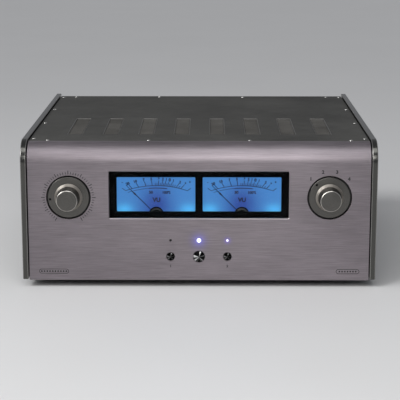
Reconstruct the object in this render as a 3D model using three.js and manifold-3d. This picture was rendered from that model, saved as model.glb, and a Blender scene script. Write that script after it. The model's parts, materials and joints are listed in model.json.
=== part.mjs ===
// Stereo amplifier with two level meters: a brushed front panel that bends back over the top, two
// thick side cheeks, a flat vented cover, and everything that works inside the case.
// Millimetres. +Z is up and the front faces -Y. The part stands on z = 0, with the origin under the
// middle of its overall width and depth.
import * as THREE from "three";
import { mergeVertices } from "three/addons/utils/BufferGeometryUtils.js";
import Module from "manifold-3d";

const wasm = await Module();
wasm.setup();

// ---- driving dimensions ---------------------------------------------------------------------
// Y is counted from the face of the front panel, Z from the surface that the feet stand on.
const GAP = 0.3; // clearance between neighbouring fixed pieces
const OVERCUT = 1; // a cutting tool runs this far past the faces that it cuts
const WIDTH = 440; // over both cheeks
const CHEEK_THICK = 7;
const CHEEK_PROUD = 3; // the cheeks stand this far out past the panel and the cover
const CHEEK_CHAMFER = 1;
const CASE_END = 430; // rear edge of the cheeks
const PANEL_WIDTH = 424;
const PANEL_THICK = 10;
const PANEL_BOTTOM = 9;
const PANEL_TOP = 181.5; // also the top of the cover
const BEND_RADIUS = 24;
const LIP_END = 38; // the panel's lip runs back under the cover to here
const COVER_THICK = 2.5;
const FLOOR_BOTTOM = 10.8;
const FLOOR_TOP = 13.8;
const REAR_INNER = 421;
const REAR_OUTER = 424;
const FLANGE_FRONT = 408; // front edge of the rear panel's flange under the cover

const HALF_INSIDE = WIDTH / 2 - CHEEK_THICK; // inner face of a cheek
const COVER_UNDER = PANEL_TOP - COVER_THICK;
const CHEEK_BOTTOM = PANEL_BOTTOM + 1.5;
const BEND_Z = PANEL_TOP - BEND_RADIUS;

const KNOB_X = 161.5;
const KNOB_Z = 114.5;
const KNOB_DISC_RADIUS = 25.5;
const KNOB_COLLAR_RADIUS = 16.8;
const KNOB_COLLAR_PROUD = 1.2;
const KNOB_RADIUS = 14;
const KNOB_PROUD = 22;
const KNOB_CHAMFER = 1.8; // round the front of the knob
const POCKET_RADIUS = 27.3;
const POCKET_DEPTH = 6.2;
const SHAFT_RADIUS = 3;
const SHAFT_FRONT = -13.5;
const SHAFT_REAR = 17.5;
const BUSH_RADIUS = 4.7;

const BUTTON_X = 35.4;
const BUTTON_Z = 39.4;
const LED_Z = 60;
const POWER_BUTTON_RADIUS = 6.9;
const SMALL_BUTTON_RADIUS = 4.8;
const BUTTON_TRAVEL = 2;
const BUTTON_SLACK = 0.35; // between a button and its hole
const BUTTON_REAR = 20;
const BUTTON_EDGE = 0.7; // the cone on a button's front starts this far out of the panel
const BUTTON_SLOPE = 0.33; // rise of that cone for each millimetre of radius
const POWER_LED_RADIUS = 2.5;
const SMALL_LED_RADIUS = 1.25;

const METER_X = 53.25; // middle of each meter
const METER_Z = 117.5;
const WINDOW_HALF_W = 111.4;
const WINDOW_HALF_H = 29.5;
const LIT_HALF_W = 48.65; // lit opening of each meter in the mask
const LIT_HALF_H = 21.65;
const PIVOT_DROP = 28; // the needle's axis lies this far below the meter's middle
const NEEDLE_REACH = 53.5;
const NEEDLE_REST = THREE.MathUtils.degToRad(-45);

const VENTS = 8;
const VENT_PITCH = 45.4;
const VENT_WIDTH = 18.7;
const VENT_FRONT = 74;
const VENT_REAR = 203;
const SCREW_HOLE = 1.7;
const SIDE_SCREW_X = 207.5;
const SIDE_SCREW_Y = [41, 165, 287, 410];
const EDGE_SCREW_X = [-189, -63, 63, 189];
const FRONT_SCREW_Y = 28.5;
const REAR_SCREW_Y = 415;

const FOOT_X = 165;
const FOOT_Y = [58, 372];
const FOOT_RADIUS = 22.5;
const FOOT_CHAMFER = [2.5, 1.8]; // inwards and upwards

const POST_X = [60, 41, -41, -60];
const POST_Z = 62;
const POST_RADIUS = 8;
const CAP_START = 430;
const CAP_END = 452;
const SOCKET_X = [107, 129, 151, 173];
const SOCKET_Z = [133, 155];
const CONNECTOR_HOLE = 5.6; // radius of a terminal's or socket's hole in the rear panel
const INLET_X = -165;
const INLET_Z = 62;
const INLET_CUTOUT = [28, 63];

const TRANSFORMER_Y = 135;
const SUPPLY_Y = [232, 322];
const CAPACITOR_X = [-60, -20, 20, 60];

// ---- shaping helpers ------------------------------------------------------------------------
const X = new THREE.Vector3(1, 0, 0);
const Y = new THREE.Vector3(0, 1, 0);
const Z = new THREE.Vector3(0, 0, 1);

function toSolid(geometry) {
  const bare = geometry.index ? geometry.toNonIndexed() : geometry.clone();
  bare.deleteAttribute("normal");
  bare.deleteAttribute("uv");
  const merged = mergeVertices(bare);
  const corners = merged.index.array;
  const kept = [];
  for (let i = 0; i < corners.length; i += 3) {
    const [a, b, c] = corners.slice(i, i + 3);
    if (a !== b && b !== c && c !== a) kept.push(a, b, c);
  }
  return new wasm.Manifold(
    new wasm.Mesh({
      numProp: 3,
      vertProperties: merged.attributes.position.array,
      triVerts: new Uint32Array(kept),
    }),
  );
}

function toGeometry(solid) {
  const mesh = solid.getMesh();
  return new THREE.BufferGeometry()
    .setAttribute("position", new THREE.BufferAttribute(new Float32Array(mesh.vertProperties), 3))
    .setIndex(new THREE.BufferAttribute(new Uint32Array(mesh.triVerts), 1));
}

const join = (...pieces) => toGeometry(pieces.map(toSolid).reduce((a, b) => a.add(b)));

const cut = (body, ...tools) =>
  toGeometry(tools.map(toSolid).reduce((rest, tool) => rest.subtract(tool), toSolid(body)));

function box([x0, x1], [y0, y1], [z0, z1]) {
  const made = new THREE.BoxGeometry(x1 - x0, y1 - y0, z1 - z0);
  return made.translate((x0 + x1) / 2, (y0 + y1) / 2, (z0 + z1) / 2);
}

// A solid of revolution about the Y axis: [radius, y] points from low y to high y, closed on the axis.
function turned(profile, segments = 32) {
  const points = [[0, profile[0][1]], ...profile, [0, profile.at(-1)[1]]];
  return new THREE.LatheGeometry(
    points.map(([radius, y]) => new THREE.Vector2(radius, y)),
    segments,
  );
}

// The same about the Z axis: [radius, z] points from low z to high z.
const turnedUp = (profile, segments) => turned(profile, segments).rotateX(Math.PI / 2);

const rod = (radius, y0, y1, segments = 24) => turned([[radius, y0], [radius, y1]], segments);

const post = (radius, z0, z1, segments = 16) => turnedUp([[radius, z0], [radius, z1]], segments);

function rectangle(halfWidth, halfHeight, corner) {
  const shape = new THREE.Shape();
  const [w, h] = [halfWidth - corner, halfHeight - corner];
  shape.absarc(w, h, corner, 0, Math.PI / 2);
  shape.absarc(-w, h, corner, Math.PI / 2, Math.PI);
  shape.absarc(-w, -h, corner, Math.PI, 1.5 * Math.PI);
  shape.absarc(w, -h, corner, 1.5 * Math.PI, 2 * Math.PI);
  return shape;
}

// A shape drawn in X and Z, made solid from y0 to y1.
function faceOn(shape, y0, y1, curveSegments = 3) {
  const made = new THREE.ExtrudeGeometry(shape, {
    depth: y1 - y0,
    bevelEnabled: false,
    curveSegments,
  });
  return made.applyMatrix4(new THREE.Matrix4().makeBasis(X, Z, Y.clone().negate())).translate(0, y1, 0);
}

// A shape drawn in Y and Z, made solid from x0 to x1.
function sideOn(shape, x0, x1, options = {}) {
  const made = new THREE.ExtrudeGeometry(shape, { depth: x1 - x0, bevelEnabled: false, ...options });
  return made.applyMatrix4(new THREE.Matrix4().makeBasis(Y, Z, X)).translate(x0, 0, 0);
}

const mirrored = (values) => values.map((v) => -v).reverse();

// ---- casing ---------------------------------------------------------------------------------
function frontPanelProfile() {
  const shape = new THREE.Shape();
  shape.moveTo(0, PANEL_BOTTOM);
  shape.lineTo(PANEL_THICK, PANEL_BOTTOM);
  shape.lineTo(PANEL_THICK, BEND_Z);
  shape.absarc(BEND_RADIUS, BEND_Z, BEND_RADIUS - PANEL_THICK, Math.PI, Math.PI / 2, true);
  shape.lineTo(LIP_END, PANEL_TOP - PANEL_THICK);
  shape.lineTo(LIP_END, COVER_UNDER - GAP);
  shape.lineTo(BEND_RADIUS, COVER_UNDER - GAP);
  shape.lineTo(BEND_RADIUS, PANEL_TOP);
  shape.absarc(BEND_RADIUS, BEND_Z, BEND_RADIUS, Math.PI / 2, Math.PI, false);
  return shape;
}

function frontPanel() {
  const through = [-OVERCUT, PANEL_THICK + OVERCUT];
  const half = PANEL_WIDTH / 2;
  const body = sideOn(frontPanelProfile(), -half, half, { curveSegments: 7 });
  const window = faceOn(rectangle(WINDOW_HALF_W, WINDOW_HALF_H, 1), ...through, 2);
  const hole = (radius, x, z, segments) => rod(radius, ...through, segments).translate(x, 0, z);
  const cuts = [
    window.translate(0, 0, METER_Z),
    hole(POWER_BUTTON_RADIUS + BUTTON_SLACK, 0, BUTTON_Z, 24),
    hole(POWER_LED_RADIUS + GAP, 0, LED_Z, 16),
  ];
  for (const side of [-1, 1]) {
    cuts.push(rod(POCKET_RADIUS, -OVERCUT, POCKET_DEPTH, 32).translate(side * KNOB_X, 0, KNOB_Z));
    cuts.push(hole(BUSH_RADIUS + GAP, side * KNOB_X, KNOB_Z, 16));
    cuts.push(hole(SMALL_BUTTON_RADIUS + BUTTON_SLACK, side * BUTTON_X, BUTTON_Z, 20));
    cuts.push(hole(SMALL_LED_RADIUS + GAP, side * BUTTON_X, LED_Z, 12));
  }
  return cut(body, ...cuts);
}

// A side plate whose front top corner follows the panel's bend, drawn about its inner face.
function cheek(side) {
  const radius = BEND_RADIUS + CHEEK_PROUD;
  const shape = new THREE.Shape();
  shape.moveTo(-CHEEK_PROUD, CHEEK_BOTTOM);
  shape.lineTo(CASE_END, CHEEK_BOTTOM);
  shape.lineTo(CASE_END, PANEL_TOP + CHEEK_PROUD);
  shape.absarc(BEND_RADIUS, BEND_Z, radius, Math.PI / 2, Math.PI, false);
  const plate = sideOn(shape, CHEEK_CHAMFER, CHEEK_THICK - CHEEK_CHAMFER, {
    curveSegments: 8,
    bevelEnabled: true,
    bevelThickness: CHEEK_CHAMFER,
    bevelSize: CHEEK_CHAMFER,
    bevelOffset: -CHEEK_CHAMFER,
    bevelSegments: 1,
  });
  return join(plate).translate(side > 0 ? HALF_INSIDE : -HALF_INSIDE - CHEEK_THICK, 0, 0);
}

const ventX = (i) => (i - (VENTS - 1) / 2) * VENT_PITCH;

function topCover() {
  const half = PANEL_WIDTH / 2;
  const slab = box([-half, half], [BEND_RADIUS + GAP, REAR_OUTER], [COVER_UNDER, PANEL_TOP]);
  const [below, above] = [COVER_UNDER - OVERCUT, PANEL_TOP + OVERCUT];
  const cuts = [];
  for (let i = 0; i < VENTS; i++) {
    const x = ventX(i);
    cuts.push(box([x - VENT_WIDTH / 2, x + VENT_WIDTH / 2], [VENT_FRONT, VENT_REAR], [below, above]));
  }
  const hole = (x, y) => post(SCREW_HOLE, below, above, 6).translate(x, y, 0);
  for (const x of EDGE_SCREW_X) cuts.push(hole(x, FRONT_SCREW_Y), hole(x, REAR_SCREW_Y));
  for (const y of SIDE_SCREW_Y) cuts.push(hole(-SIDE_SCREW_X, y), hole(SIDE_SCREW_X, y));
  return cut(slab, ...cuts);
}

// One thin sheet under the cover, pressed up into each vent and slotted there.
function ventMesh() {
  const [border, thick, endBar, below] = [7, 0.8, 2, 0.6];
  const [slots, slotWidth, slotPitch] = [4, 2.6, 4.4];
  const top = COVER_UNDER - GAP;
  const half = ventX(VENTS - 1) + VENT_WIDTH / 2 + border;
  const pieces = [box([-half, half], [VENT_FRONT - border, VENT_REAR + border], [top - thick, top])];
  const cuts = [];
  for (let i = 0; i < VENTS; i++) {
    const across = [ventX(i) - VENT_WIDTH / 2 + GAP, ventX(i) + VENT_WIDTH / 2 - GAP];
    pieces.push(box(across, [VENT_FRONT + GAP, VENT_REAR - GAP], [top - thick, PANEL_TOP - below]));
    for (let k = 0; k < slots; k++) {
      const x = ventX(i) + (k - (slots - 1) / 2) * slotPitch;
      const along = [VENT_FRONT + endBar, VENT_REAR - endBar];
      const upright = [top - thick - OVERCUT, PANEL_TOP];
      cuts.push(box([x - slotWidth / 2, x + slotWidth / 2], along, upright));
    }
  }
  return cut(join(...pieces), ...cuts);
}

function rearPanel() {
  const half = PANEL_WIDTH / 2;
  const top = COVER_UNDER - GAP;
  const flangeThick = 3;
  const sheet = join(
    box([-half, half], [REAR_INNER, REAR_OUTER], [FLOOR_BOTTOM, top]),
    box([-half, half], [FLANGE_FRONT, REAR_INNER], [top - flangeThick, top]),
  );
  const through = [REAR_INNER - OVERCUT, REAR_OUTER + OVERCUT];
  const bore = (x, z) => rod(CONNECTOR_HOLE, ...through, 10).translate(x, 0, z);
  const cuts = POST_X.map((x) => bore(x, POST_Z));
  for (const z of SOCKET_Z) cuts.push(...SOCKET_X.map((x) => bore(x, z)));
  const [halfW, halfH] = INLET_CUTOUT.map((size) => size / 2);
  cuts.push(box([INLET_X - halfW, INLET_X + halfW], through, [INLET_Z - halfH, INLET_Z + halfH]));
  return cut(sheet, ...cuts);
}

// A flat sheet with rows of cooling slots under the heatsinks.
function bottomPlate() {
  const half = PANEL_WIDTH / 2;
  const slot = { x: 170, halfLength: 20, halfWidth: 2.5, front: 100, rear: 240, pitch: 20 };
  const plate = box([-half, half], [PANEL_THICK + GAP, REAR_INNER - GAP], [FLOOR_BOTTOM, FLOOR_TOP]);
  const upright = [FLOOR_BOTTOM - OVERCUT, FLOOR_TOP + OVERCUT];
  const cuts = [];
  for (let y = slot.front; y <= slot.rear; y += slot.pitch) {
    for (const x of [-slot.x, slot.x]) {
      const across = [x - slot.halfLength, x + slot.halfLength];
      cuts.push(box(across, [y - slot.halfWidth, y + slot.halfWidth], upright));
    }
  }
  return cut(plate, ...cuts);
}

function foot() {
  const [inwards, upwards] = FOOT_CHAMFER;
  const profile = [
    [FOOT_RADIUS - inwards, 0],
    [FOOT_RADIUS, upwards],
    [FOOT_RADIUS, FLOOR_BOTTOM - GAP],
  ];
  return turnedUp(profile, 24);
}

function topRail(side) {
  const [wide, bottom] = [10.7, 168];
  const across = [HALF_INSIDE - GAP - wide, HALF_INSIDE - GAP];
  const along = [LIP_END + GAP, FLANGE_FRONT - GAP];
  return box(side > 0 ? across : mirrored(across), along, [bottom, COVER_UNDER - GAP]);
}

// ---- controls -------------------------------------------------------------------------------
// A knob turned from bar: a flat disc that sits in the panel's pocket, and a boss on a hollow cone.
const knob = () =>
  cut(
    turned(
      [
        [KNOB_RADIUS - KNOB_CHAMFER, -KNOB_PROUD],
        [KNOB_RADIUS, -KNOB_PROUD + KNOB_CHAMFER],
        [KNOB_RADIUS, -9],
        [KNOB_RADIUS + 0.9, -4],
        [KNOB_COLLAR_RADIUS - 0.9, -KNOB_COLLAR_PROUD - 0.9],
        [KNOB_COLLAR_RADIUS, -KNOB_COLLAR_PROUD],
        [KNOB_COLLAR_RADIUS, 0],
        [KNOB_DISC_RADIUS - 0.4, 0],
        [KNOB_DISC_RADIUS, 0.4],
        [KNOB_DISC_RADIUS, 2.6],
      ],
      32,
    ),
    rod(SHAFT_RADIUS + GAP, SHAFT_FRONT - 0.5, 3.6, 12),
  );

const controlShaft = () => rod(SHAFT_RADIUS, SHAFT_FRONT, SHAFT_REAR, 12);

// The threaded bush that passes through the panel, with the body behind it.
const withBush = (profile) =>
  cut(
    turned([[BUSH_RADIUS, 3.8], [BUSH_RADIUS, PANEL_THICK + GAP], ...profile], 16),
    rod(SHAFT_RADIUS + GAP, 2, SHAFT_REAR + 0.5, 12),
  );

const potentiometer = () => withBush([[12.5, PANEL_THICK + GAP], [12.5, 32], [5, 32], [5, 34]]);

const selectorSwitch = () =>
  withBush([
    [16, PANEL_THICK + GAP],
    [16, 14],
    [9, 14],
    [9, 24],
    [18, 24],
    [18, 26],
    [9, 26],
    [9, 36],
  ]);

// A button with a low cone on its front, a collar behind the panel and a plunger for its switch.
const button = (radius) =>
  turned(
    [
      [0.5, -BUTTON_EDGE - BUTTON_SLOPE * radius],
      [radius, -BUTTON_EDGE],
      [radius, PANEL_THICK + 0.7],
      [radius + 1.5, PANEL_THICK + 0.7],
      [radius + 1.5, PANEL_THICK + 2.1],
      [2.5, PANEL_THICK + 2.1],
      [2.5, BUTTON_REAR],
    ],
    20,
  );

const BOARD_FRONT = 27.3; // front face of the control board

// A clear rod that brings the lamp's light from the control board to the panel's face.
const lightGuide = (radius, proud) =>
  turned(
    [
      [radius * 0.55, -proud],
      [radius, -proud * 0.3],
      [radius, PANEL_THICK + 0.7],
      [radius + 0.9, PANEL_THICK + 0.7],
      [radius + 0.9, PANEL_THICK + 2],
      [radius * 0.8, PANEL_THICK + 2],
      [radius * 0.8, BOARD_FRONT - GAP],
    ],
    12,
  );

function controlBoard() {
  const [halfWidth, thick, low, high] = [50, 1.6, 28, 68];
  const [standRadius, standInset] = [2.8, 4];
  const switchHalf = 3.1;
  const pieces = [box([-halfWidth, halfWidth], [BOARD_FRONT, BOARD_FRONT + thick], [low, high])];
  for (const x of [standInset - halfWidth, halfWidth - standInset]) {
    for (const z of [low + standInset, high - standInset]) {
      pieces.push(rod(standRadius, PANEL_THICK + GAP, BOARD_FRONT + thick / 2, 12).translate(x, 0, z));
    }
  }
  const switchDepth = [BUTTON_REAR + BUTTON_TRAVEL + 0.9, BOARD_FRONT + thick / 2];
  for (const x of [-BUTTON_X, 0, BUTTON_X]) {
    const across = [x - switchHalf, x + switchHalf];
    pieces.push(box(across, switchDepth, [BUTTON_Z - switchHalf, BUTTON_Z + switchHalf]));
  }
  return join(...pieces);
}

// ---- meters, each drawn about the middle of its lit opening ---------------------------------
const WINDOW_PANE = [2.5, 4.5];
const MASK = [4.8, 6.3];
const DIAL = [18, 19];
const PIVOT_CAP = [11, 12.6];
const PIVOT_CAP_Z = -26.5;
const POINTER = [14.2, 14.8];

const meterWindow = () => faceOn(rectangle(WINDOW_HALF_W - GAP, WINDOW_HALF_H - GAP, 1), ...WINDOW_PANE, 2);

function meterMask() {
  const shape = rectangle(WINDOW_HALF_W - GAP, WINDOW_HALF_H - GAP, 1);
  const opening = (x) => faceOn(rectangle(LIT_HALF_W, LIT_HALF_H, 1.5), 0, 10).translate(x, 0, 0);
  return cut(faceOn(shape, ...MASK, 2), opening(-METER_X), opening(METER_X));
}

// A tray open to the front, with the magnet round the coil and the cap that hides the pivot.
function meterBody() {
  const wall = 2;
  const [halfW, low, high, front, back] = [51.8, -41, 29, PANEL_THICK + 0.4, 44];
  const tray = cut(
    box([-halfW, halfW], [front, back], [low, high]),
    box([wall - halfW, halfW - wall], [front - OVERCUT, back - wall], [low + wall, high - wall]),
  );
  const magnet = cut(rod(10.5, 22, back - wall / 2, 16), rod(6.3, 21, 41.5, 12));
  const pivotCap = rod(8, ...PIVOT_CAP, 24).translate(0, 0, PIVOT_CAP_Z);
  const capArm = box([-4, 4], PIVOT_CAP, [low + wall / 2, PIVOT_CAP_Z]);
  return join(tray, magnet.translate(0, 0, -PIVOT_DROP), pivotCap, capArm);
}

// A flat card, notched where the coil's magnet comes through.
function meterDial() {
  const [halfW, low, high] = [49.4, -33.5, 26.6];
  const [notchHalf, notchTop] = [4.5, -23];
  const card = box([-halfW, halfW], DIAL, [low, high]);
  const behind = [DIAL[0] - OVERCUT, DIAL[1] + OVERCUT];
  return cut(card, box([-notchHalf, notchHalf], behind, [low - OVERCUT, notchTop]));
}

// The moving coil, its axle and the pointer, drawn upright about the axle.
function meterNeedle() {
  const bulge = 38; // the pointer swells to a small lozenge here
  const outline = new THREE.Shape();
  outline.moveTo(-0.6, -8);
  outline.lineTo(0.6, -8);
  outline.lineTo(0.55, bulge - 3);
  outline.lineTo(1.1, bulge);
  outline.lineTo(0.4, bulge + 3);
  outline.lineTo(0.25, NEEDLE_REACH);
  outline.lineTo(-0.25, NEEDLE_REACH);
  outline.lineTo(-0.4, bulge + 3);
  outline.lineTo(-1.1, bulge);
  outline.lineTo(-0.55, bulge - 3);
  return join(
    faceOn(outline, ...POINTER),
    rod(3.2, 13.2, 16.5, 10),
    rod(0.8, 13, 41, 6),
    rod(5.5, 22.5, 36, 12),
  );
}

// ---- power and signal parts -----------------------------------------------------------------
const transformer = () =>
  cut(
    turnedUp(
      [
        [60, FLOOR_TOP + GAP],
        [66, 17],
        [68, 23],
        [68, 69],
        [66, 75],
        [60, 78],
      ],
      28,
    ),
    post(22, 0, 90, 20),
  );

const transformerClamp = () =>
  turnedUp(
    [
      [4, FLOOR_TOP + GAP],
      [4, 78.3],
      [40, 78.3],
      [40, 80.3],
      [8, 81.5],
      [8, 87.5],
      [4, 87.5],
      [4, 91],
    ],
    16,
  );

const reservoirCapacitor = () =>
  turnedUp(
    [
      [17.5, 23.9],
      [17.5, 27],
      [16.8, 28],
      [17.5, 29],
      [17.5, 89.5],
    ],
    16,
  );

function supplyBoard() {
  const half = 88;
  const pieces = [box([-half, half], SUPPLY_Y, [22, 23.6])];
  for (const x of [5 - half, half - 5]) {
    for (const y of [SUPPLY_Y[0] + 5, SUPPLY_Y[1] - 5]) {
      pieces.push(post(3, FLOOR_TOP + GAP, 22.5, 10).translate(x, y, 0));
    }
  }
  return join(...pieces);
}

// A base plate with upright fins that point at the cheek.
function heatsink(side) {
  const [fins, finThick, front, rear] = [15, 3, 78, 258];
  const [base, finRoot, finTip] = [132, 138, 196];
  const [bottom, height] = [20, 130];
  const pitch = (rear - front - finThick) / (fins - 1);
  const shape = new THREE.Shape();
  shape.moveTo(base, rear);
  shape.lineTo(base, front);
  for (let i = 0; i < fins; i++) {
    const y = front + i * pitch;
    if (i > 0) shape.lineTo(finRoot, y);
    shape.lineTo(finTip, y);
    shape.lineTo(finTip, y + finThick);
    if (i < fins - 1) shape.lineTo(finRoot, y + finThick);
  }
  const extruded = new THREE.ExtrudeGeometry(shape, { depth: height, bevelEnabled: false });
  const made = join(extruded.translate(0, 0, bottom));
  return side > 0 ? made : made.rotateZ(Math.PI).translate(0, front + rear, 0);
}

const outward = (side, range) => (side > 0 ? range : mirrored(range));
const amplifierBoard = (side) => box(outward(side, [118, 119.6]), [84, 252], [24, 140]);
const outputModule = (side) => box(outward(side, [119.9, 131.7]), [130, 206], [60, 100]);
const inputBoard = () => box([92, 188], [330, 418], [119.9, 121.5]);

// Eight phono sockets in one moulding behind the rear panel.
function inputSockets() {
  const [collarRadius, collarEnd] = [5.3, REAR_OUTER + 1.5];
  const [barrelRadius, barrelEnd] = [4.15, REAR_OUTER + 10];
  const boreRadius = 1.7;
  const pieces = [box([96, 184], [398, REAR_INNER - GAP], [121.8, 166])];
  const bores = [];
  const profile = [
    [collarRadius, REAR_INNER - 2],
    [collarRadius, collarEnd],
    [barrelRadius, collarEnd],
    [barrelRadius, barrelEnd],
  ];
  for (const z of SOCKET_Z) {
    for (const x of SOCKET_X) {
      pieces.push(turned(profile, 10).translate(x, 0, z));
      bores.push(rod(boreRadius, REAR_OUTER + 2, barrelEnd + OVERCUT, 6).translate(x, 0, z));
    }
  }
  return cut(join(...pieces), ...bores);
}

// ---- mains inlet, drawn about the middle of its flange --------------------------------------
const PLUG_ROOM = { z: -17, halfW: 12, halfH: 8.5, floor: 408 };
const DRAWER_ROOM = { halfW: 11.5, floor: 401 };
const ROCKER_ROOM = { halfW: 10.5, halfH: 10.2, floor: 410 };
const FLANGE = [REAR_OUTER + GAP, REAR_OUTER + 2.8];
const DRAWER_Z = [-5, 2.5];
const ROCKER_Z = 19;
const ROCKER_PIVOT_Y = 421.5;
const ROCKER_TILT = THREE.MathUtils.degToRad(8);

function mainsInlet() {
  const mouth = FLANGE[1] + OVERCUT;
  const shell = join(
    box([-15, 15], FLANGE, [-34, 34]),
    box([-13.5, 13.5], [396, FLANGE[0] + 0.5], [-31, 31]),
  );
  const { z, halfW, halfH, floor } = PLUG_ROOM;
  const hollow = cut(
    shell,
    box([-halfW, halfW], [floor, mouth], [z - halfH, z + halfH]),
    box([-DRAWER_ROOM.halfW, DRAWER_ROOM.halfW], [DRAWER_ROOM.floor, mouth], DRAWER_Z),
    box(
      [-ROCKER_ROOM.halfW, ROCKER_ROOM.halfW],
      [ROCKER_ROOM.floor, mouth],
      [ROCKER_Z - ROCKER_ROOM.halfH, ROCKER_Z + ROCKER_ROOM.halfH],
    ),
  );
  const blade = (x, low) => box([x - 1, x + 1], [floor - 1, REAR_OUTER], [z + low, z + low + 4]);
  return join(hollow, blade(-7, -3.7), blade(7, -3.7), blade(0, 1.2));
}

const fuseDrawer = () =>
  join(
    box(
      [GAP - DRAWER_ROOM.halfW, DRAWER_ROOM.halfW - GAP],
      [DRAWER_ROOM.floor + OVERCUT, FLANGE[1] + 0.5],
      [DRAWER_Z[0] + GAP, DRAWER_Z[1] - GAP],
    ),
    box([-12.4, 12.4], [FLANGE[1] + GAP, FLANGE[1] + 2], [DRAWER_Z[0] - 0.8, DRAWER_Z[1] + 0.8]),
  );

// The rocker's key, drawn about its pivot with both ends level.
function mainsRocker() {
  const shape = new THREE.Shape();
  shape.moveTo(-5, -6);
  shape.lineTo(5.8, -8.6);
  shape.quadraticCurveTo(6.6, 0, 5.8, 8.6);
  shape.lineTo(-5, 6);
  return join(sideOn(shape, -9.9, 9.9, { curveSegments: 6 }));
}

// ---- loudspeaker terminals ------------------------------------------------------------------
const STEM_RADIUS = 3;
const INSIDE_FLANGE_FRONT = 415;

const terminal = () =>
  turned(
    [
      [2.5, 398],
      [2.5, INSIDE_FLANGE_FRONT],
      [POST_RADIUS, INSIDE_FLANGE_FRONT],
      [POST_RADIUS, REAR_INNER - GAP],
      [CONNECTOR_HOLE - 0.4, REAR_INNER - GAP],
      [CONNECTOR_HOLE - 0.4, REAR_OUTER + GAP],
      [POST_RADIUS, REAR_OUTER + GAP],
      [POST_RADIUS, CAP_START - 1],
      [STEM_RADIUS, CAP_START - 1],
      [STEM_RADIUS, CAP_END - 3],
    ],
    12,
  );

function terminalCap() {
  const radius = POST_RADIUS - 0.4;
  const chamfer = 1;
  const profile = [
    [radius - chamfer, CAP_START],
    [radius, CAP_START + chamfer],
    [radius, CAP_END - chamfer],
    [radius - chamfer, CAP_END],
  ];
  return cut(turned(profile, 12), rod(STEM_RADIUS + GAP, CAP_START - OVERCUT, CAP_END - 2.5, 10));
}

// ---- materials ------------------------------------------------------------------------------
const finish = (color, roughness, metalness) =>
  new THREE.MeshStandardMaterial({ color, roughness, metalness });
const brushed = finish(0xa6a1a4, 0.38, 1);
const satin = finish(0x8f8f8b, 0.35, 1);
const coverGrey = finish(0x5b5b59, 0.5, 0.9);
const meshSteel = finish(0x8d8b88, 0.45, 1);
const blackSheet = finish(0x1b1b1c, 0.6, 0.3);
const zinc = finish(0x9a9da0, 0.45, 1);
const polished = finish(0xc8c8c8, 0.12, 1);
const blackPlastic = finish(0x0c0c0d, 0.45, 0);
const rubberBlack = finish(0x171717, 0.8, 0);
const clearPane = new THREE.MeshStandardMaterial({
  color: 0xffffff,
  roughness: 0.05,
  transparent: true,
  opacity: 0.2,
});
const dialBlue = finish(0x3f7fd0, 0.6, 0);
const needleBlue = finish(0x14285c, 0.5, 0);
const lampBlue = finish(0xaab4ff, 0.3, 0);
const lampDark = finish(0x15151a, 0.3, 0);
const boardGreen = finish(0x1f5a38, 0.55, 0);
const aluminium = finish(0x9b9c9e, 0.4, 1);
const windingTape = finish(0xc9a640, 0.55, 0);
const sleeveBlack = finish(0x1a1d22, 0.35, 0);
const gold = finish(0xc9a24a, 0.25, 1);
const capRed = finish(0xa11d1d, 0.35, 0);

// ---- assembly -------------------------------------------------------------------------------
function place(parent, name, geometry, material, [x, y, z] = [0, 0, 0]) {
  const mesh = new THREE.Mesh(geometry, material);
  mesh.name = name;
  mesh.position.set(x, y, z);
  parent.add(mesh);
  return mesh;
}

const SIDES = [["left", -1], ["right", 1]]; // as seen from the front

function casing() {
  const group = new THREE.Group();
  place(group, "front_panel", frontPanel(), brushed);
  place(group, "top_cover", topCover(), coverGrey);
  place(group, "vent_mesh", ventMesh(), meshSteel);
  place(group, "rear_panel", rearPanel(), blackSheet);
  place(group, "bottom_plate", bottomPlate(), blackSheet);
  for (const [name, side] of SIDES) {
    place(group, `${name}_cheek`, cheek(side), satin);
    place(group, `${name}_top_rail`, topRail(side), aluminium);
    place(group, `foot_front_${name}`, foot(), rubberBlack, [side * FOOT_X, FOOT_Y[0], 0]);
    place(group, `foot_rear_${name}`, foot(), rubberBlack, [side * FOOT_X, FOOT_Y[1], 0]);
  }
  return group;
}

function controls() {
  const group = new THREE.Group();
  const volume = [-KNOB_X, 0, KNOB_Z];
  const selector = [KNOB_X, 0, KNOB_Z];
  place(group, "volume_knob", knob(), satin, volume);
  place(group, "volume_shaft", controlShaft(), zinc, volume);
  place(group, "volume_potentiometer", potentiometer(), zinc, volume);
  place(group, "selector_knob", knob(), satin, selector);
  place(group, "selector_shaft", controlShaft(), zinc, selector);
  place(group, "selector_switch", selectorSwitch(), zinc, selector);
  place(group, "power_button", button(POWER_BUTTON_RADIUS), polished, [0, 0, BUTTON_Z]);
  place(group, "power_led", lightGuide(POWER_LED_RADIUS, 1), lampBlue, [0, 0, LED_Z]);
  for (const [name, side] of SIDES) {
    const x = side * BUTTON_X;
    const lamp = side > 0 ? lampBlue : lampDark;
    place(group, `${name}_button`, button(SMALL_BUTTON_RADIUS), polished, [x, 0, BUTTON_Z]);
    place(group, `${name}_led`, lightGuide(SMALL_LED_RADIUS, 0.3), lamp, [x, 0, LED_Z]);
  }
  place(group, "control_board", controlBoard(), boardGreen);
  return group;
}

function meters() {
  const group = new THREE.Group();
  group.position.z = METER_Z;
  place(group, "meter_window", meterWindow(), clearPane);
  place(group, "meter_mask", meterMask(), blackPlastic);
  for (const [name, side] of SIDES) {
    const middle = [side * METER_X, 0, 0];
    place(group, `${name}_meter_body`, meterBody(), blackPlastic, middle);
    place(group, `${name}_meter_dial`, meterDial(), dialBlue, middle);
    const pivot = [side * METER_X, 0, -PIVOT_DROP];
    place(group, `${name}_meter_needle`, meterNeedle(), needleBlue, pivot).rotation.y = NEEDLE_REST;
  }
  return group;
}

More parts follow.
